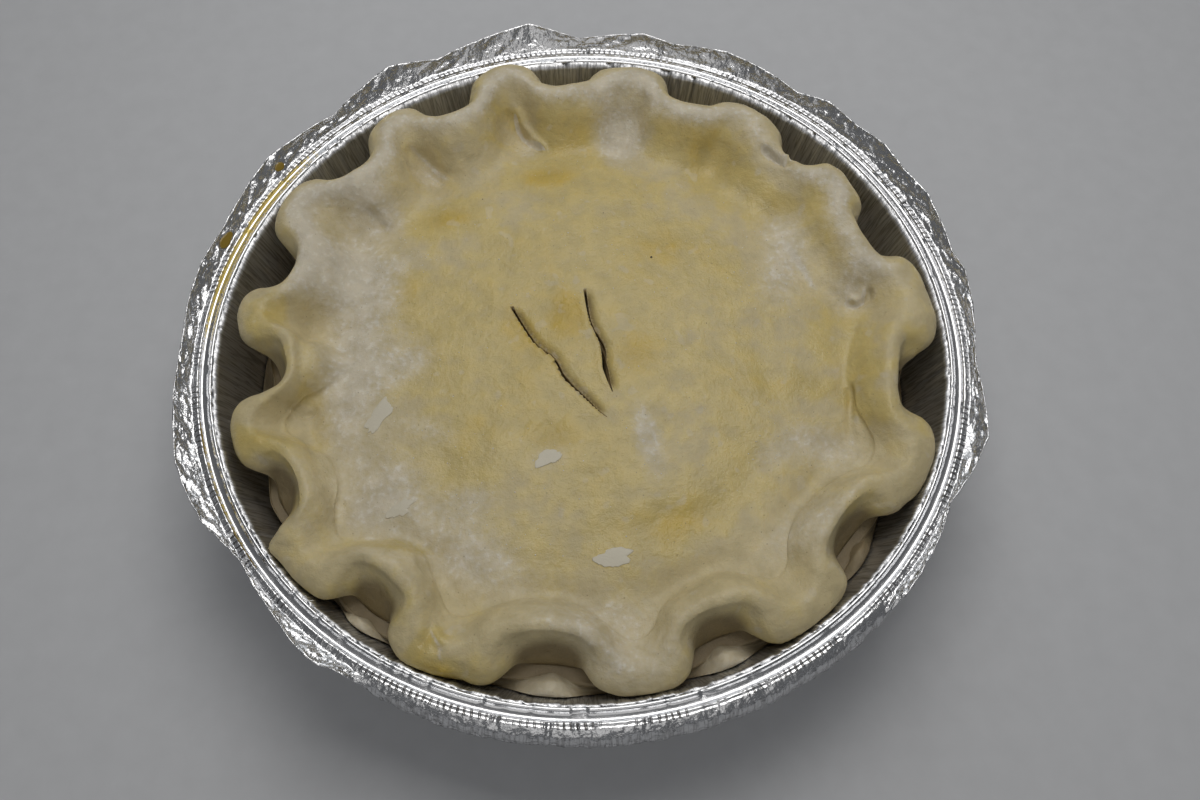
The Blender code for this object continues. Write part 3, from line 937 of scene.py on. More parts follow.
class FluteWave:
    """The rim's flutes, read at equal steps round the pie.

    Each half of a flute runs from a lobe to a notch with a phase from 0 to pi. The
    share of the notch is (1 - cos phase) / 2, and the angle moves from the lobe's to
    the notch's by (phase + roundness sin 2 phase - gather sin phase) / pi.
    """

    def __init__(self, steps_per_flute: int) -> None:
        """Reads the flute table at every step."""
        count = len(FLUTES)
        step = np.arange(count * steps_per_flute)
        this = step // steps_per_flute
        fraction = step / steps_per_flute - this
        second_half = fraction >= 0.5
        lobe = np.where(second_half, (this + 1) % count, this)
        table = np.array(FLUTES)
        self.phase = np.where(second_half, 2 - 2 * fraction, 2 * fraction) * math.pi
        self.notch_share = (1 - np.cos(self.phase)) / 2
        self.lobe_angle = np.radians(table[lobe, 0])
        notch_angle = np.radians(table[this, 3])
        self.half_width = (notch_angle - self.lobe_angle + math.pi) % TAU - math.pi
        self.lobe_radius, self.notch_radius = table[lobe, 1], table[this, 4]
        self.lobe_height, self.notch_height = table[lobe, 2], table[this, 5]
        self.roundness = (table[lobe, 6] + table[this, 6]) / 2
        self.tuck = table[this, 7]

    def angle(self, roundness: float, gather: float) -> Array:
        """Angle of each step on a ring with this share of roundness and gather."""
        turn = self.phase + roundness * self.roundness * np.sin(2 * self.phase)
        turn = turn - gather * np.sin(self.phase)
        return self.lobe_angle + self.half_width * turn / math.pi

    def mix(self, at_lobe: Array | float, at_notch: Array | float) -> Array:
        """A value that waves between a lobe's and a notch's."""
        return at_lobe + (at_notch - at_lobe) * self.notch_share

    def front(self, start: float = -0.1, spread: float = 0.6) -> Array:
        """0 behind, eased to 1 round the front from a sine of the angle."""
        return smooth_step((start - np.sin(self.angle(0.0, 0.0))) / spread)

    def sides(self) -> Array:
        """0 behind, eased to 1 from the sides round the front."""
        return self.front(start=0.25)

    def back(self, start: float = -0.05, spread: float = 0.5) -> Array:
        """0 at the front, eased to 1 round the back from a sine of the angle."""
        return smooth_step((np.sin(self.angle(0.0, 0.0)) - start) / spread)

    def crest_height(self) -> Array:
        """Height of the rim's crest above the pan's bead."""
        return self.mix(self.lobe_height, self.notch_height)


class Patch(NamedTuple):
    """An oval spot in plan: middle, half length and half width, turn and strength."""

    x: float
    y: float
    length: float
    width: float
    turn: float
    strength: float


def spotted(xy: Array, patches: tuple[Patch, ...]) -> Array:
    """Sum of the patches, each its strength times e to the minus squared distance."""
    total = np.zeros(xy.shape[:-1])
    for patch in patches:
        turn = math.radians(patch.turn)
        rel = xy - np.array([patch.x, patch.y])
        along = rel[..., 0] * math.cos(turn) + rel[..., 1] * math.sin(turn)
        across = rel[..., 1] * math.cos(turn) - rel[..., 0] * math.sin(turn)
        total += patch.strength * np.exp(
            -((along / patch.length) ** 2) - (across / patch.width) ** 2
        )
    return total


class Crease(NamedTuple):
    """A fold line in the dough: its path, width, depth and the lip along its left."""

    path: tuple[tuple[float, float], ...]
    width: float
    depth: float
    lip: float


class Swell(NamedTuple):
    """Unevenness of the dough: its size, its height, its extra at the rim and its seed."""

    cell: float
    height: float
    at_rim: float
    seed: int


class Snag(NamedTuple):
    """A spot where the rim is pulled out: its angle, half width in degrees and reach."""

    angle: float
    half_width: float
    reach: float


class Vent(NamedTuple):
    """A knife cut through the top crust: its path, and its width at each point."""

    path: tuple[tuple[float, float], ...]
    widths: tuple[float, ...]


@dataclass
class TopCrust:
    """Lid with its fluted rim, dents, creases and vents, closed on its underside.

    Rings of points run from the middle over the rim to the seat and back under. A
    Catmull-Rom curve through the stations places them, and relief moves them along
    the normal: slow swells, dents and creases at their places in plan.
    """

    pan: FoilPan
    steps_per_flute: int = 54
    valley_height: float = -3.5
    seat_height: float = -10.0
    notch_seat_height: float = -15.5
    lobe_seat_inset: float = 9.0
    tuck_lift: float = 1.25  # of a notch's foot for each millimetre of its tuck
    most_tuck: float = 4.5  # that lifts a foot
    tuck_above: float = 0.3  # share of the tuck taken by the rim just above its foot
    rim_start: float = 76.0
    seat_gather: float = -0.40
    front_tightness: float = 0.30
    lid_thickness: float = 4.2
    seat_inner_radius: float = 82.0
    crown: tuple[tuple[float, float], ...] = (
        (2.0, -0.3),
        (21.0, -0.4),
        (42.0, -1.0),
        (58.0, -1.9),
    )
    stations: tuple[Station, ...] = (
        Station(28.0, 22.0, 0.00, 0.0, 0.0, 0.00, 0.15),
        Station(21.0, 16.0, 0.20, 0.0, 0.0, 0.10, 0.40),
        Station(14.0, 10.4, 0.66, 0.0, 0.0, 0.25, 0.50),
        Station(8.0, 5.0, 1.00, 0.3, 0.0, 0.45, 0.45),
        Station(2.6, 1.1, 1.00, 1.7, 0.5, 0.80, 0.15),
        Station(0.0, 0.0, 1.00, 4.4, 2.6, 1.00, -0.15),
        Station(1.0, 0.3, 1.00, 7.8, 7.4, 0.60, -0.40),
    )
    rings_between: tuple[int, ...] = (18, 22, 12, 14, 11, 10, 8, 6, 5, 5, 5)
    dents: tuple[Patch, ...] = (
        Patch(-20, 80, 7, 4, 110, 1.4),
        Patch(15, 77, 9, 7, 90, 1.5),
        Patch(36, 69, 14, 7, -25, 0.8),
        Patch(64, 54, 9, 6, -50, 2.3),
        Patch(75, 26, 10, 6, 80, 1.6),
        Patch(84, 13, 6, 5, 0, 1.2),
        Patch(53, -14, 9, 4, 110, 1.0),
        Patch(72, -36, 9, 5, 20, 1.4),
        Patch(-48, 64, 9, 4, -35, 1.3),
        Patch(-64, 44, 8, 4, -30, 1.2),
        Patch(25, -57, 24, 4, 12, 0.7),
        Patch(44, -46, 12, 4, 38, 0.5),
        Patch(30, -68, 16, 5, 10, -0.6),
        Patch(-52, -62, 12, 3, -10, 0.8),
        Patch(-38, -72, 9, 4, -60, 1.0),
        Patch(12, -88, 12, 5, 0, 0.8),
        Patch(-60, 0, 12, 22, 0, -0.5),
        Patch(-20, -45, 18, 14, 0, -0.4),
        Patch(30, 30, 20, 14, 0, -0.3),
    )
    creases: tuple[Crease, ...] = (
        Crease(((-21, 86), (-18.5, 80), (-15, 76), (-10.5, 72)), 0.9, 1.4, 1.3),
        Crease(((-54, 70), (-49, 67), (-42, 61)), 1.5, 0.9, 0.25),
        Crease(((-51, 66), (-46, 62.5), (-43, 59.5)), 1.0, 0.4, 0.1),
        Crease(((-68, 46.5), (-63, 45), (-59, 41)), 1.5, 0.5, 0.2),
        Crease(((79.5, 10.5), (82.5, 8.8), (85.5, 10), (86.5, 13)), 0.9, 1.5, 1.0),
        Crease(((76.8, -17), (76.3, -27), (75.2, -37)), 0.7, 1.9, 0.1),
        Crease(((58, 64), (62, 59.5), (65, 57.5), (69, 58.5)), 1.2, 2.0, 1.5),
        Crease(((62, 33), (67, 22), (70, 14)), 2.0, 0.5, 0.3),
        Crease(((-77, -20), (-80, -21.5), (-84, -21)), 0.9, 0.9, 0.2),
        Crease(((-78, 22), (-80, 2), (-78, -26), (-69, -48), (-63, -61)), 2.2, 1.2, 0.0),
        Crease(((-57, -66), (-40, -70), (-32, -80), (-20, -76)), 2.2, 0.8, 0.0),
        Crease(((-8, -78), (6, -84), (20, -78), (34, -72)), 2.2, 0.8, 0.0),
        Crease(((-42, -87), (-39, -92), (-40, -97)), 1.2, 0.8, 0.3),
    )
    flour: tuple[Patch, ...] = (
        Patch(-69, 22, 14, 22, 20, 0.75),
        Patch(-66, -14, 11, 26, 0, 0.65),
        Patch(-56, -48, 16, 14, 50, 0.5),
        Patch(-32, -66, 22, 12, -20, 0.55),
        Patch(15, 76, 8, 11, 0, 0.95),
        Patch(62, 22, 9, 16, -25, 0.6),
        Patch(62, 38, 8, 8, 0, 0.45),
        Patch(82, 14, 9, 9, 0, 0.5),
        Patch(68, -36, 16, 8, -20, 0.5),
        Patch(56, -62, 20, 9, 40, 0.45),
        Patch(18, -34, 4.5, 13, 10, 0.75),
        Patch(-10.5, -39, 8, 5, 20, 0.4),
        Patch(-16, 74, 6, 7, 30, 0.45),
        Patch(-62, 46, 9, 8, 0, 0.6),
        Patch(-48, 63, 8, 6, -35, 0.45),
        Patch(6, -84, 22, 10, 0, 0.4),
        Patch(8, -97, 14, 8, 0, 0.4),
        Patch(0, 20, 16, 10, 0, 0.15),
        Patch(-49, -6, 9, 7, 30, 0.40),
        Patch(-44, -28, 12, 5, -25, 0.35),
        Patch(-51, 30, 8, 5, 20, 0.35),
        Patch(-30, -50, 9, 5, 10, 0.35),
        Patch(52, -40, 9, 5, 30, 0.35),
    )
    wash: tuple[Patch, ...] = (
        Patch(-11, 60, 9, 4, 5, 0.95),
        Patch(-3, 74, 9, 12, 0, 0.55),
        Patch(-42, 45, 10, 5, 0, 0.75),
        Patch(-4, 7, 5, 7, 0, 1.3),
        Patch(17, -7, 7, 6, 0, 0.6),
        Patch(33, 32, 12, 9, 0, 0.55),
        Patch(25, -59, 20, 6, 15, 0.65),
        Patch(40, 69, 14, 9, -25, 0.45),
        Patch(62, 46, 8, 5, 0, 0.5),
        Patch(62, -18, 14, 4, 0, 0.5),
        Patch(-51, -63, 10, 2.5, -5, 0.9),
        Patch(-91, 8, 7, 5, 60, 0.8),
        Patch(-92, -33, 10, 5, -10, 0.85),
        Patch(-38, -97, 7, 3, -20, 1.2),
        Patch(-42, -90, 5, 3, 40, 0.8),
        Patch(-15, -64, 10, 8, 0, 0.35),
        Patch(-52, 14, 10, 10, 0, 0.4),
        Patch(-18, 3, 4, 10, 35, 0.4),
        Patch(-29, -29, 8, 6, 0, 0.5),
        Patch(-9, -33, 6, 4, 0, 0.5),
        Patch(76, 42, 12, 5, 75, 0.4),
        Patch(80, -16, 6, 6, 0, 0.3),
        Patch(4, 4, 66, 60, 0, 0.60),
    )
    snags: tuple[Snag, ...] = (
        Snag(216.5, 1.3, 2.6),
        Snag(121.0, 2.5, 0.9),
        Snag(46.0, 2.2, 1.4),
        Snag(251.0, 2.0, -1.2),
        Snag(328.0, 2.5, -1.0),
        Snag(184.0, 2.5, 0.8),
    )
    swollen: tuple[Swell, ...] = (
        Swell(34.0, 0.60, 0.00, 41),
        Swell(13.0, 0.40, 0.45, 42),
        Swell(2.2, 0.00, 0.12, 44),
        Swell(5.0, 0.14, 0.16, 43),
    )
    torn: tuple[Patch, ...] = (
        Patch(-40, -92, 9, 7, 0, 1.6),
        Patch(-81, -60, 6, 5, 0, 0.7),
        Patch(67, 60, 6, 5, 0, 0.8),
        Patch(74, -40, 8, 5, 0, 0.6),
        Patch(95, -12, 6, 10, 0, 0.5),
        Patch(-48, -68, 8, 5, 0, 0.4),
        Patch(-12, -30, 12, 9, 0, 0.35),
    )
    vents: tuple[Vent, ...] = (
        Vent(
            ((-20.5, 10.5), (-13.8, -1.5), (-8.2, -7.0), (-5.2, -13.5), (0, -19.5), (6.5, -27)),
            (0.9, 0.7, 0.6, 1.3, 0.8, 0.12),
        ),
        Vent(
            ((1.4, 15.5), (2.8, 5), (6.0, -3.5), (6.6, -11), (8.4, -19)),
            (0.9, 0.6, 1.2, 1.6, 0.12),
        ),
    )
    vent_depth: float = 9.0
    vent_steps: int = 36
    lip_raised: float = 0.2
    lip_sunk: float = 1.3
    lip_width: float = 1.5
    pocket_inset: float = 24.0
    pocket_size: tuple[float, float] = (10.0, 5.5)
    groove_inset: float = 12.8
    groove_size: tuple[float, float] = (3.0, 13.0)

    def levels(self, wave: FluteWave) -> Array:
        """Stations from the middle to the seat, as (station, step, angle-radius-height)."""
        plain = wave.angle(0.0, 0.0)
        rows = [
            np.stack(np.broadcast_arrays(plain, radius, height), axis=-1)
            for radius, height in self.crown
        ]
        tight = 1 - self.front_tightness * wave.sides()
        for station in self.stations:
            radius = wave.mix(
                wave.lobe_radius - station.lobe_inset * tight,
                wave.notch_radius - station.notch_inset * tight,
            )
            rise = station.rise * (wave.crest_height() - self.valley_height)
            drop = wave.mix(station.lobe_drop, station.notch_drop)
            angle = wave.angle(station.roundness, station.gather)
            height = self.valley_height + rise - drop
            if station.rise == 1.0:
                radius = radius + self.snag_reach(angle)
            rows.append(np.stack([angle, radius, height], axis=-1))
        rows[-1][:, 1] += wave.notch_share * self.tuck_above * np.maximum(wave.tuck, 0.0)
        rows.append(np.stack([self.seat_angle(wave), *self.seat(wave)], axis=-1))
        return np.array(rows)

    def snag_reach(self, angle: Array) -> Array:
        """How far snags pull the rim out: e to the minus squared angle, times reach."""
        total = np.zeros_like(angle)
        for snag in self.snags:
            away = (np.degrees(angle) - snag.angle + 180.0) % 360.0 - 180.0
            total += snag.reach * hump(away, 0.0, snag.half_width)
        return total

    def seat_angle(self, wave: FluteWave) -> Array:
        """Angle of each step where the rim stands on the bottom crust."""
        return wave.angle(0.0, self.seat_gather)

    def seat(self, wave: FluteWave) -> tuple[Array, Array]:
        """Radius and height, above the bead, of the rim's foot.

        Each millimetre that a notch is tucked out lifts its foot by `tuck_lift`.
        """
        foot = self.notch_seat_height + self.tuck_lift * np.clip(wave.tuck, 0.0, self.most_tuck)
        radius = wave.mix(wave.lobe_radius - self.lobe_seat_inset, wave.notch_radius + wave.tuck)
        return radius, wave.mix(self.seat_height, foot)

    def swells(self, points: Array) -> Array:
        """Unevenness of rolled dough: noises of 34 to 2 mm, and lumps where it is torn."""
        rim = smooth_step((np.hypot(points[..., 0], points[..., 1]) - self.rim_start) / 12.0)
        total = sum(
            (swell.height + swell.at_rim * rim) * noise(points, swell.cell, swell.seed)
            for swell in self.swollen
        )
        lumpy = 0.8 * noise(points, 3.6, 45) + 0.4 * noise(points, 1.7, 46)
        return total + spotted(points[..., :2], self.torn) * lumpy

    def pockets(self) -> tuple[Patch, ...]:
        """Thumb marks inside the lobes, and the groove behind each notch.

        The marks are deepest where the rim is highest, the grooves where it is low.
        """
        made = []
        for flute in FLUTES:
            pocket = 0.40 + 0.19 * flute.lobe_height
            groove = max(0.0, 1.9 - 0.3 * flute.lobe_height)
            for angle, reach, size, depth in (
                (flute.lobe_angle, flute.lobe_radius - self.pocket_inset, self.pocket_size, pocket),
                (flute.notch_angle, flute.notch_radius - self.groove_inset, self.groove_size, groove),
            ):
                turn = math.radians(angle)
                x, y = reach * math.cos(turn), reach * math.sin(turn)
                made.append(Patch(x, y, *size, angle, depth))
        return tuple(made)

    def marks(self, points: Array) -> Array:
        """Dents and creases at their places in plan, and the dip beside each vent."""
        xy = points[..., :2]
        moved = -spotted(xy, self.dents + self.pockets())
        for crease in self.creases:
            offset, share = path_offset(xy, np.array(crease.path, dtype=float))
            inside = hump(offset, 0.0, crease.width)
            lip = hump(offset, 1.6 * crease.width, crease.width)
            ends = window(share, 0.0, 0.15, 1.0, 0.15)
            moved += ends * (crease.lip * lip - crease.depth * inside)
        sunk, raised = self.vent_lips(xy)
        return moved + self.lip_raised * raised - self.lip_sunk * sunk

    def vent_lips(self, xy: Array) -> tuple[Array, Array]:
        """Shares of the sunk lip on each vent's +X side and of the raised one on its other."""
        sunk, raised = np.zeros((2, *xy.shape[:-1]))
        for vent in self.vents:
            offset, share = path_offset(xy, np.array(vent.path, dtype=float))
            ends = window(share, 0.0, 0.08, 1.0, 0.1)
            sunk += ends * hump(offset, 0.0, self.lip_width) * (offset > -0.3)
            raised += ends * hump(offset, -1.6, 1.2)
        return sunk, raised

    def lips(self, xy: Array) -> Array:
        """Share of pale dry dough along each crease's lip."""
        total = np.zeros(xy.shape[:-1])
        for crease in self.creases:
            offset, share = path_offset(xy, np.array(crease.path, dtype=float))
            near = hump(offset, 0.9 * crease.width, 0.35 * crease.width)
            total += 1.6 * crease.lip * near * window(share, 0.0, 0.1, 1.0, 0.1)
        return total

    def drape(self, xy: Array) -> Array:
        """Height of the lid's top at points in plan.

        Each ring gives its radius and height at the points' angles, and each point's
        height is read between the two rings that its own radius lies between.
        """
        rings, _ = self.rings(FluteWave(self.steps_per_flute))
        rings = rings[: sum(self.rings_between[:6])]
        around = np.arctan2(xy[..., 1], xy[..., 0]).reshape(-1)
        reach = np.hypot(xy[..., 0], xy[..., 1]).reshape(-1)
        radius, height = np.empty((2, len(rings), len(reach)))
        for ring, at, level in zip(rings, radius, height):
            turn = np.arctan2(ring[:, 1], ring[:, 0])
            order = np.argsort(turn)
            at[:] = np.interp(around, turn[order], np.hypot(*ring[order, :2].T), period=TAU)
            level[:] = np.interp(around, turn[order], ring[order, 2], period=TAU)
        low = np.clip((radius < reach).sum(axis=0) - 1, 0, len(rings) - 2)
        each = np.arange(len(reach))
        span = radius[low + 1, each] - radius[low, each]
        share = np.clip((reach - radius[low, each]) / np.maximum(span, 1e-6), 0.0, 1.0)
        found = height[low, each] * (1 - share) + height[low + 1, each] * share
        return found.reshape(xy.shape[:-1])

    def places(self) -> Array:
        """Row in the stations' spline of each ring of the outside."""
        counts = self.rings_between
        runs = [np.linspace(i, i + 1, count, endpoint=False) for i, count in enumerate(counts)]
        return np.concatenate(runs + [np.array([float(len(counts))])])

    def rings(self, wave: FluteWave) -> tuple[Array, Array]:
        """Points of the whole lid, and how far each ring counts as its outside."""
        rows = self.levels(wave)
        places = self.places()
        smooth = smooth_through(rows, places)
        outer = polar(smooth[..., 0], smooth[..., 1], RIM_HEIGHT + smooth[..., 2])
        outside = smooth_step((len(rows) - 1.0 - places) / 0.8)[:, None]
        inner = smooth_step((9.4 - places) / 1.0)[:, None]
        moved = outside * self.swells(outer) + inner * self.marks(outer)
        outer = self.pan.held(outer + grid_normals(outer) * moved[..., None])
        plain = wave.angle(0.0, 0.0)
        under = [polar(plain, self.seat_inner_radius, RIM_HEIGHT + self.seat_height)]
        for radius, height in reversed(self.crown):
            under.append(polar(plain, radius, RIM_HEIGHT + height - self.lid_thickness))
        weight = np.concatenate([np.ones(len(places)), np.zeros(len(under))])
        return np.concatenate([outer, np.array(under)]), weight

    def cutter(self, name: str, vent: Vent, finish: bpy.types.Material) -> bpy.types.Object:
        """Blade with the vent's outline, its width read between the points' widths."""
        path = np.array(vent.path, dtype=float)
        places = np.linspace(0, len(path) - 1, self.vent_steps)
        spine = smooth_through(path, places)
        run = np.gradient(spine, axis=0)
        side = np.stack([-run[:, 1], run[:, 0]], axis=1)
        side /= np.linalg.norm(side, axis=1, keepdims=True)
        at = np.concatenate([spine, np.zeros((len(spine), 1))], axis=1)
        width = np.interp(places, np.arange(len(path)), vent.widths)
        width = (width * (1 + 0.22 * noise(at, 3.0, 51)))[:, None] / 2
        edge = np.concatenate([spine + side * width, (spine - side * width)[::-1]])
        low = np.full((len(edge), 1), RIM_HEIGHT - self.vent_depth)
        high = np.full((len(edge), 1), RIM_HEIGHT + self.vent_depth)
        rings = np.array([np.hstack([edge, high]), np.hstack([edge, low])])
        blade = grid_mesh(name, rings[:, ::-1])
        blade.data.materials.append(finish)
        return blade

    def cut_vents(self, piece: bpy.types.Object) -> None:
        """Cuts the vents out of a piece and clears the blades away."""
        # The cut walls take the darker dough, painted shade inside the vents.
        finish = bpy.data.materials.get(CUT_SHADE_FINISH.name) or CUT_SHADE_FINISH.make()
        for number, vent in enumerate(self.vents, start=1):
            blade = self.cutter(f"blade_{number}", vent, finish)
            cut = piece.modifiers.new("vent", "BOOLEAN")
            cut.operation, cut.solver, cut.object = "DIFFERENCE", "EXACT", blade
            cut.material_mode = "TRANSFER"
            bpy.context.view_layer.objects.active = piece
            bpy.ops.object.modifier_apply(modifier=cut.name)
            bpy.data.objects.remove(blade)

    def masks(self, wave: FluteWave, rings: Array, weight: Array) -> dict[str, Array]:
        """Shares of flour, with a painted highlight on the crests, of egg wash and of painted shade.

        Args:
            wave: the flutes.
            rings: points of the whole lid.
            weight: 1 for each ring of the outside and 0 for the others.
        """
        xy, shown = rings[..., :2], weight[:, None]
        inside = np.full(len(rings) - len(self.places()), -1.0)
        place = np.append(self.places(), inside)[:, None]
        # Painted highlight: pale flour colour along the crests, strongest at the back, lightens the
        # crests as light would.
        crest = (0.14 + 0.46 * wave.back()) * hump(place, 7.2, 0.9)
        # Painted shade in the recesses under the notches at the front and sides, and along each
        # vent's sunk lip.
        below = (RIM_HEIGHT + wave.crest_height() - 3.0 - rings[..., 2]) / 5.0
        recess = np.clip(below, 0.0, 1.0) * (place > 8.0)
        recess = recess * smooth_step((wave.notch_share - 0.35) / 0.5) * wave.sides()
        return {
            "flour": (spotted(xy, self.flour) + self.lips(xy)) * shown + crest,
            "wash": spotted(xy, self.wash) * shown,
            "painted_shade": recess + self.vent_lips(xy)[0] * shown,
        }

    def build(self) -> bpy.types.Object:
        """Makes the lid and cuts its vents."""
        wave = FluteWave(self.steps_per_flute)
        rings, weight = self.rings(wave)
        lid = grid_mesh("fluted_top_crust", rings, self.masks(wave, rings, weight))
        dress(lid, Slot.TOP_DOUGH, TOP_FINISH.make())
        self.cut_vents(lid)
        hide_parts("top_crust")
        return lid


@dataclass
class BottomCrust:
    """Bottom crust that swells out between the front flutes, solid inside.

    Its side follows the pan's wall up to where the dough leaves the foil. From there a
    bulge curves over to the lid's seat.
    """

    pan: FoilPan
    lid: TopCrust
    gap: float = 0.3
    front_contact: float = -8.0
    back_contact: float = -21.0
    contact_start: float = -0.45  # sine of the angle where the contact starts to rise
    contact_spread: float = 0.35
    contact_dip: float = 4.5  # of the contact between the front notches
    bulge_rise: float = 7.6
    hollow: float = 3.0
    ledge: float = 0.8  # of dough past the lid's foot
    shoulder: float = 1.2
    steps_per_flute: int = 32
    rings_between: tuple[int, ...] = (3, 3, 6, 6, 4, 10, 12, 8, 3, 2, 2)

    def levels(self, wave: FluteWave) -> Array:
        """Stations from under the lid's middle, out to the wall and down to the floor."""
        theta = wave.angle(0.0, 0.0)
        front = wave.front(self.contact_start, self.contact_spread)
        contact = self.back_contact + (self.front_contact - self.back_contact) * front
        contact_height = RIM_HEIGHT + contact
        wall = self.pan.wall_radius(contact_height) - self.gap
        seat = RIM_HEIGHT + self.lid.seat_height - self.gap
        edge, foot_height = self.lid.seat(wave)
        edge, low = edge + self.ledge, RIM_HEIGHT + foot_height - self.gap
        seat_theta = self.lid.seat_angle(wave)
        dome = front * wave.notch_share**7
        bulge = seat + (contact_height - seat) * (1 - front) - self.hollow * front
        bulge = bulge + self.bulge_rise * dome
        wall_height = contact_height - self.contact_dip * front * (1 - wave.notch_share**4)
        foot = self.pan.wall_foot_radius - self.gap
        floor = self.pan.foil + self.gap
        side_height = (contact_height + self.pan.wall_foot_height) / 2
        outline = [
            (theta, radius, RIM_HEIGHT + height - self.lid.lid_thickness - self.gap)
            for radius, height in self.lid.crown
        ]
        outline += [
            (theta, self.lid.seat_inner_radius - 1.0, seat),
            (seat_theta, edge, low),
            (seat_theta, edge + self.shoulder + 2.0 * (front - dome), low),
            (theta, (wall + edge) / 2 + 0.4, bulge),
            (theta, wall, wall_height),
            (theta, self.pan.wall_radius(side_height) - self.gap, side_height),
            (theta, foot, self.pan.wall_foot_height),
            (theta, self.pan.floor_radius - self.gap, floor),
        ]
        return np.array([polar(*row) for row in outline])

    def build(self) -> bpy.types.Object:
        """Makes the bottom crust and carries the vents a little way into it."""
        wave = FluteWave(self.steps_per_flute)
        rows = self.levels(wave)
        places = [
            np.linspace(i, i + 1, count, endpoint=False)
            for i, count in enumerate(self.rings_between)
        ]
        places = np.concatenate(places + [np.array([len(rows) - 1.0])])
        rings = smooth_through(rows, places)
        shown = window(places, 5.2, 0.8, 8.2, 0.8)
        rough = 0.30 * noise(rings, 7.0, 61) + 0.14 * noise(rings, 2.6, 62)
        rings = self.pan.held(rings + grid_normals(rings) * (shown[:, None] * rough)[..., None])
        blank = np.zeros(rings.shape[:2])
        # Painted shade over the bottom crust: all of it is darkened except the lit tops of the domes
        # between the front flutes.
        hill = wave.front() * wave.notch_share**3 * smooth_step((places[:, None] - 5.4) / 1.2)
        shaded = wave.back(start=-0.76, spread=0.12)
        painted_shade = np.clip(1 - hill + shaded, 0.0, 1.0)
        masks = {"flour": blank + 0.35, "wash": blank, "painted_shade": painted_shade}
        crust = grid_mesh("bottom_crust_body", rings, masks)
        dress(crust, Slot.BOTTOM_DOUGH, BOTTOM_FINISH.make())
        self.lid.cut_vents(crust)
        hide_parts("bottom_crust")
        return crust


# ---------------------------------------------------------------- small things


class Flake(NamedTuple):
    """A dry flake of dough on the lid: place, half length and width, and turn."""

    x: float
    y: float
    length: float
    width: float
    turn: float


@dataclass
class Scatter:
    """Dry flakes, flour grains and specks that lie on the lid."""

    lid: TopCrust
    flakes: tuple[Flake, ...] = (
        Flake(-58.7, -23.7, 5.6, 2.3, 55.0),
        Flake(-10.5, -38.8, 3.6, 2.5, 20.0),
        Flake(7.0, -68.0, 4.6, 2.4, 0.0),
        Flake(-51.0, -52.0, 3.6, 2.0, 30.0),
    )
    flake_points: int = 64
    flake_rings: int = 6
    flake_thickness: float = 0.10
    curl: float = 0.07
    lift: float = 0.14
    sunk: float = 0.25
    grains: int = 900
    draws_per_grain: int = 6
    reach: float = 68.0
    stray: float = 0.06  # share of grains away from the flour
    specks: tuple[tuple[float, float, float], ...] = (
        (22.0, 26.6, 0.42),
        (-30.0, 52.0, 0.2),
        (8.0, 44.0, 0.18),
        (37.0, 3.0, 0.16),
    )
    seed: int = 7

    def flake_block(self, flake: Flake, seed: int) -> Array:
        """Rings of one flake: an oval whose radius is broken by noise, top then sole."""
        turn = np.linspace(0.0, TAU, self.flake_points, endpoint=False)
        ragged = 1 + 0.34 * fractal(polar(turn, 2.2, 0.0), 1.3, 4, seed)
        share = np.append(np.linspace(0.12, 0.95, self.flake_rings), 1.0)[:, None]
        along = flake.length * share * ragged * np.cos(turn)
        across = flake.width * share * ragged * np.sin(turn)
        lean = math.radians(flake.turn)
        x = flake.x + along * math.cos(lean) - across * math.sin(lean)
        y = flake.y + along * math.sin(lean) + across * math.cos(lean)
        base = self.lid.drape(np.stack([x, y], axis=-1))
        curl = self.curl * share**4 * np.maximum(np.sin(turn + seed), 0.0)
        crown = self.flake_thickness * (1 - share**4)
        top = np.stack([x, y, base + self.lift + crown + curl], axis=-1)
        sole = np.stack([x, y, base - self.sunk + curl], axis=-1)
        return np.concatenate([top, sole[::-1]])

    def flakes_mesh(self) -> bpy.types.Object:
        """Joins the flakes."""
        blocks = [self.flake_block(flake, 71 + i) for i, flake in enumerate(self.flakes)]
        made = blobs_mesh("dough_flakes", np.array(blocks))
        dress(made, Slot.TOP_DOUGH, FLAKE_FINISH.make())
        return made

    def dots(self, name: str, xy: Array, size: Array, finish: PlainFinish) -> bpy.types.Object:
        """Small lumps on the lid, each three five-sided rings."""
        turn = np.linspace(0.0, TAU, 5, endpoint=False)
        ring = polar(turn, 1.0, 0.0)
        shape = np.array([ring * 0.6 + [0, 0, 0.55], ring, ring * 0.6 - [0, 0, 0.4]])
        middle = np.concatenate([xy, self.lid.drape(xy)[:, None]], axis=1)
        blocks = middle[:, None, None, :] + shape[None] * size[:, None, None, None]
        made = blobs_mesh(name, blocks)
        dress(made, Slot.TOP_DOUGH, finish.make())
        return made

    def build(self) -> list[bpy.types.Object]:
        """Makes the flakes, the flour and the specks."""
        rng = np.random.default_rng(self.seed)
        tries = self.grains * self.draws_per_grain
        angle, area = rng.uniform(0, TAU, tries), rng.uniform(0, 1, tries)
        around = np.stack([np.cos(angle), np.sin(angle)], axis=-1)
        xy = self.reach * np.sqrt(area)[:, None] * around
        floury = spotted(xy, self.lid.flour) + self.stray
        kept = xy[rng.uniform(0, 1, len(xy)) < floury][: self.grains]
        size = rng.uniform(0.05, 0.14, len(kept)) * rng.choice([1.0, 1.0, 1.8], len(kept))
        specks = np.array(self.specks)
        return [
            self.flakes_mesh(),
            self.dots("flour_grains", kept, size, FLOUR_FINISH),
            self.dots("specks", specks[:, :2], specks[:, 2], SPECK_FINISH),
        ]


# ---------------------------------------------------------------- studio


class Lamp(NamedTuple):
    """A square soft light: its place and size in metres, its power and its colour."""

    name: str
    place: Colour
    size: float
    power: float
    colour: Colour


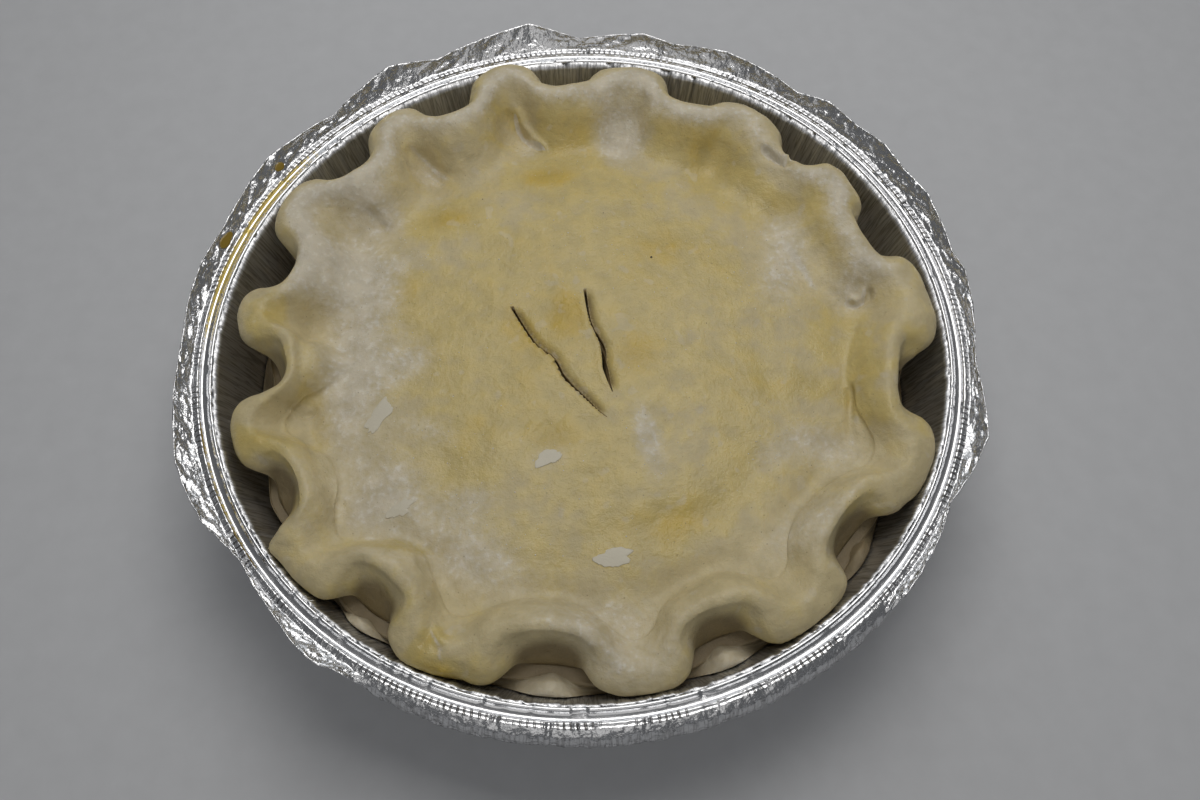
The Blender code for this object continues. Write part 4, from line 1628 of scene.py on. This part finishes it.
@dataclass
class Studio:
    """Pale floor, soft lights and the camera that looks steeply down."""

    floor_half: float = 1500.0
    camera_back: float = 159.1
    camera_height: float = 313.0
    camera_pitch: float = 63.044
    camera_yaw: float = 1.959
    lens: float = 32.01
    sky: Colour = (0.90, 0.92, 0.95)
    sky_strength: float = 0.13
    lamps: tuple[Lamp, ...] = (
        Lamp("key", (0.05, 0.21, 0.62), 0.42, 1.56, (1.0, 0.98, 0.95)),
        Lamp("front", (-0.1, -0.80, 0.95), 1.0, 1.7, (1.0, 0.98, 0.95)),
        Lamp("rear", (-0.1, 1.1, 0.8), 0.8, 1.4, (0.95, 0.98, 1.0)),
    )

    def floor(self) -> bpy.types.Object:
        """Flat floor under the pan."""
        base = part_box("foil_pan")[0][2] / MM
        half, level = self.floor_half, base - 0.02
        corners = [(-half, -half), (half, -half), (half, half), (-half, half)]
        made = bpy.data.meshes.new("floor")
        points = np.array([(x, y, level) for x, y in corners]) * MM
        made.from_pydata(points, [], [(0, 1, 2, 3)])
        placed = bpy.data.objects.new("floor", made)
        bpy.context.scene.collection.objects.link(placed)
        made.materials.append(FLOOR_FINISH.make())
        return placed

    def light(self, lamp: Lamp) -> None:
        """Adds a lamp, aimed at the pie."""
        soft = bpy.data.lights.new(lamp.name, "AREA")
        soft.size, soft.energy, soft.color = lamp.size, lamp.power, lamp.colour
        made = bpy.data.objects.new(lamp.name, soft)
        made.location = lamp.place
        aim = Vector((0.0, 0.0, RIM_HEIGHT * MM)) - Vector(lamp.place)
        made.rotation_euler = aim.to_track_quat("-Z", "Y").to_euler()
        bpy.context.scene.collection.objects.link(made)

    def world(self) -> None:
        """Even pale surroundings."""
        world = bpy.data.worlds.new("studio")
        world.use_nodes = True
        sky = world.node_tree.nodes["Background"]
        sky.inputs["Color"].default_value = (*self.sky, 1.0)
        sky.inputs["Strength"].default_value = self.sky_strength
        bpy.context.scene.world = world

    def camera(self) -> None:
        """Camera above and in front of the pie, pitched down and turned a little."""
        lens = bpy.data.cameras.new("camera")
        lens.lens, lens.sensor_width = self.lens, 36.0
        lens.clip_start = 0.01
        made = bpy.data.objects.new("camera", lens)
        made.location = (0.0, -self.camera_back * MM, self.camera_height * MM)
        tilt = math.radians(90.0 - self.camera_pitch)
        made.rotation_euler = (tilt, 0.0, -math.radians(self.camera_yaw))
        bpy.context.scene.collection.objects.link(made)
        bpy.context.scene.camera = made

    def build(self) -> None:
        """Sets the stage."""
        self.floor()
        self.world()
        for lamp in self.lamps:
            self.light(lamp)
        self.camera()
        bpy.context.scene.view_settings.view_transform = "Standard"


def main() -> None:
    """Builds the studio and the pie, and logs the faces of each piece."""
    logging.basicConfig(level=logging.INFO, format="%(message)s")
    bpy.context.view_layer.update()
    Studio().build()
    pan = FoilPan()
    lid = TopCrust(pan)
    pieces = [pan.build(), EggOnRim(pan).build(), lid.build(), BottomCrust(pan, lid).build()]
    pieces += Scatter(lid).build()
    for piece in pieces:
        log.info("%s: %d faces", piece.name, len(piece.data.polygons))


if __name__ == "__main__":
    main()
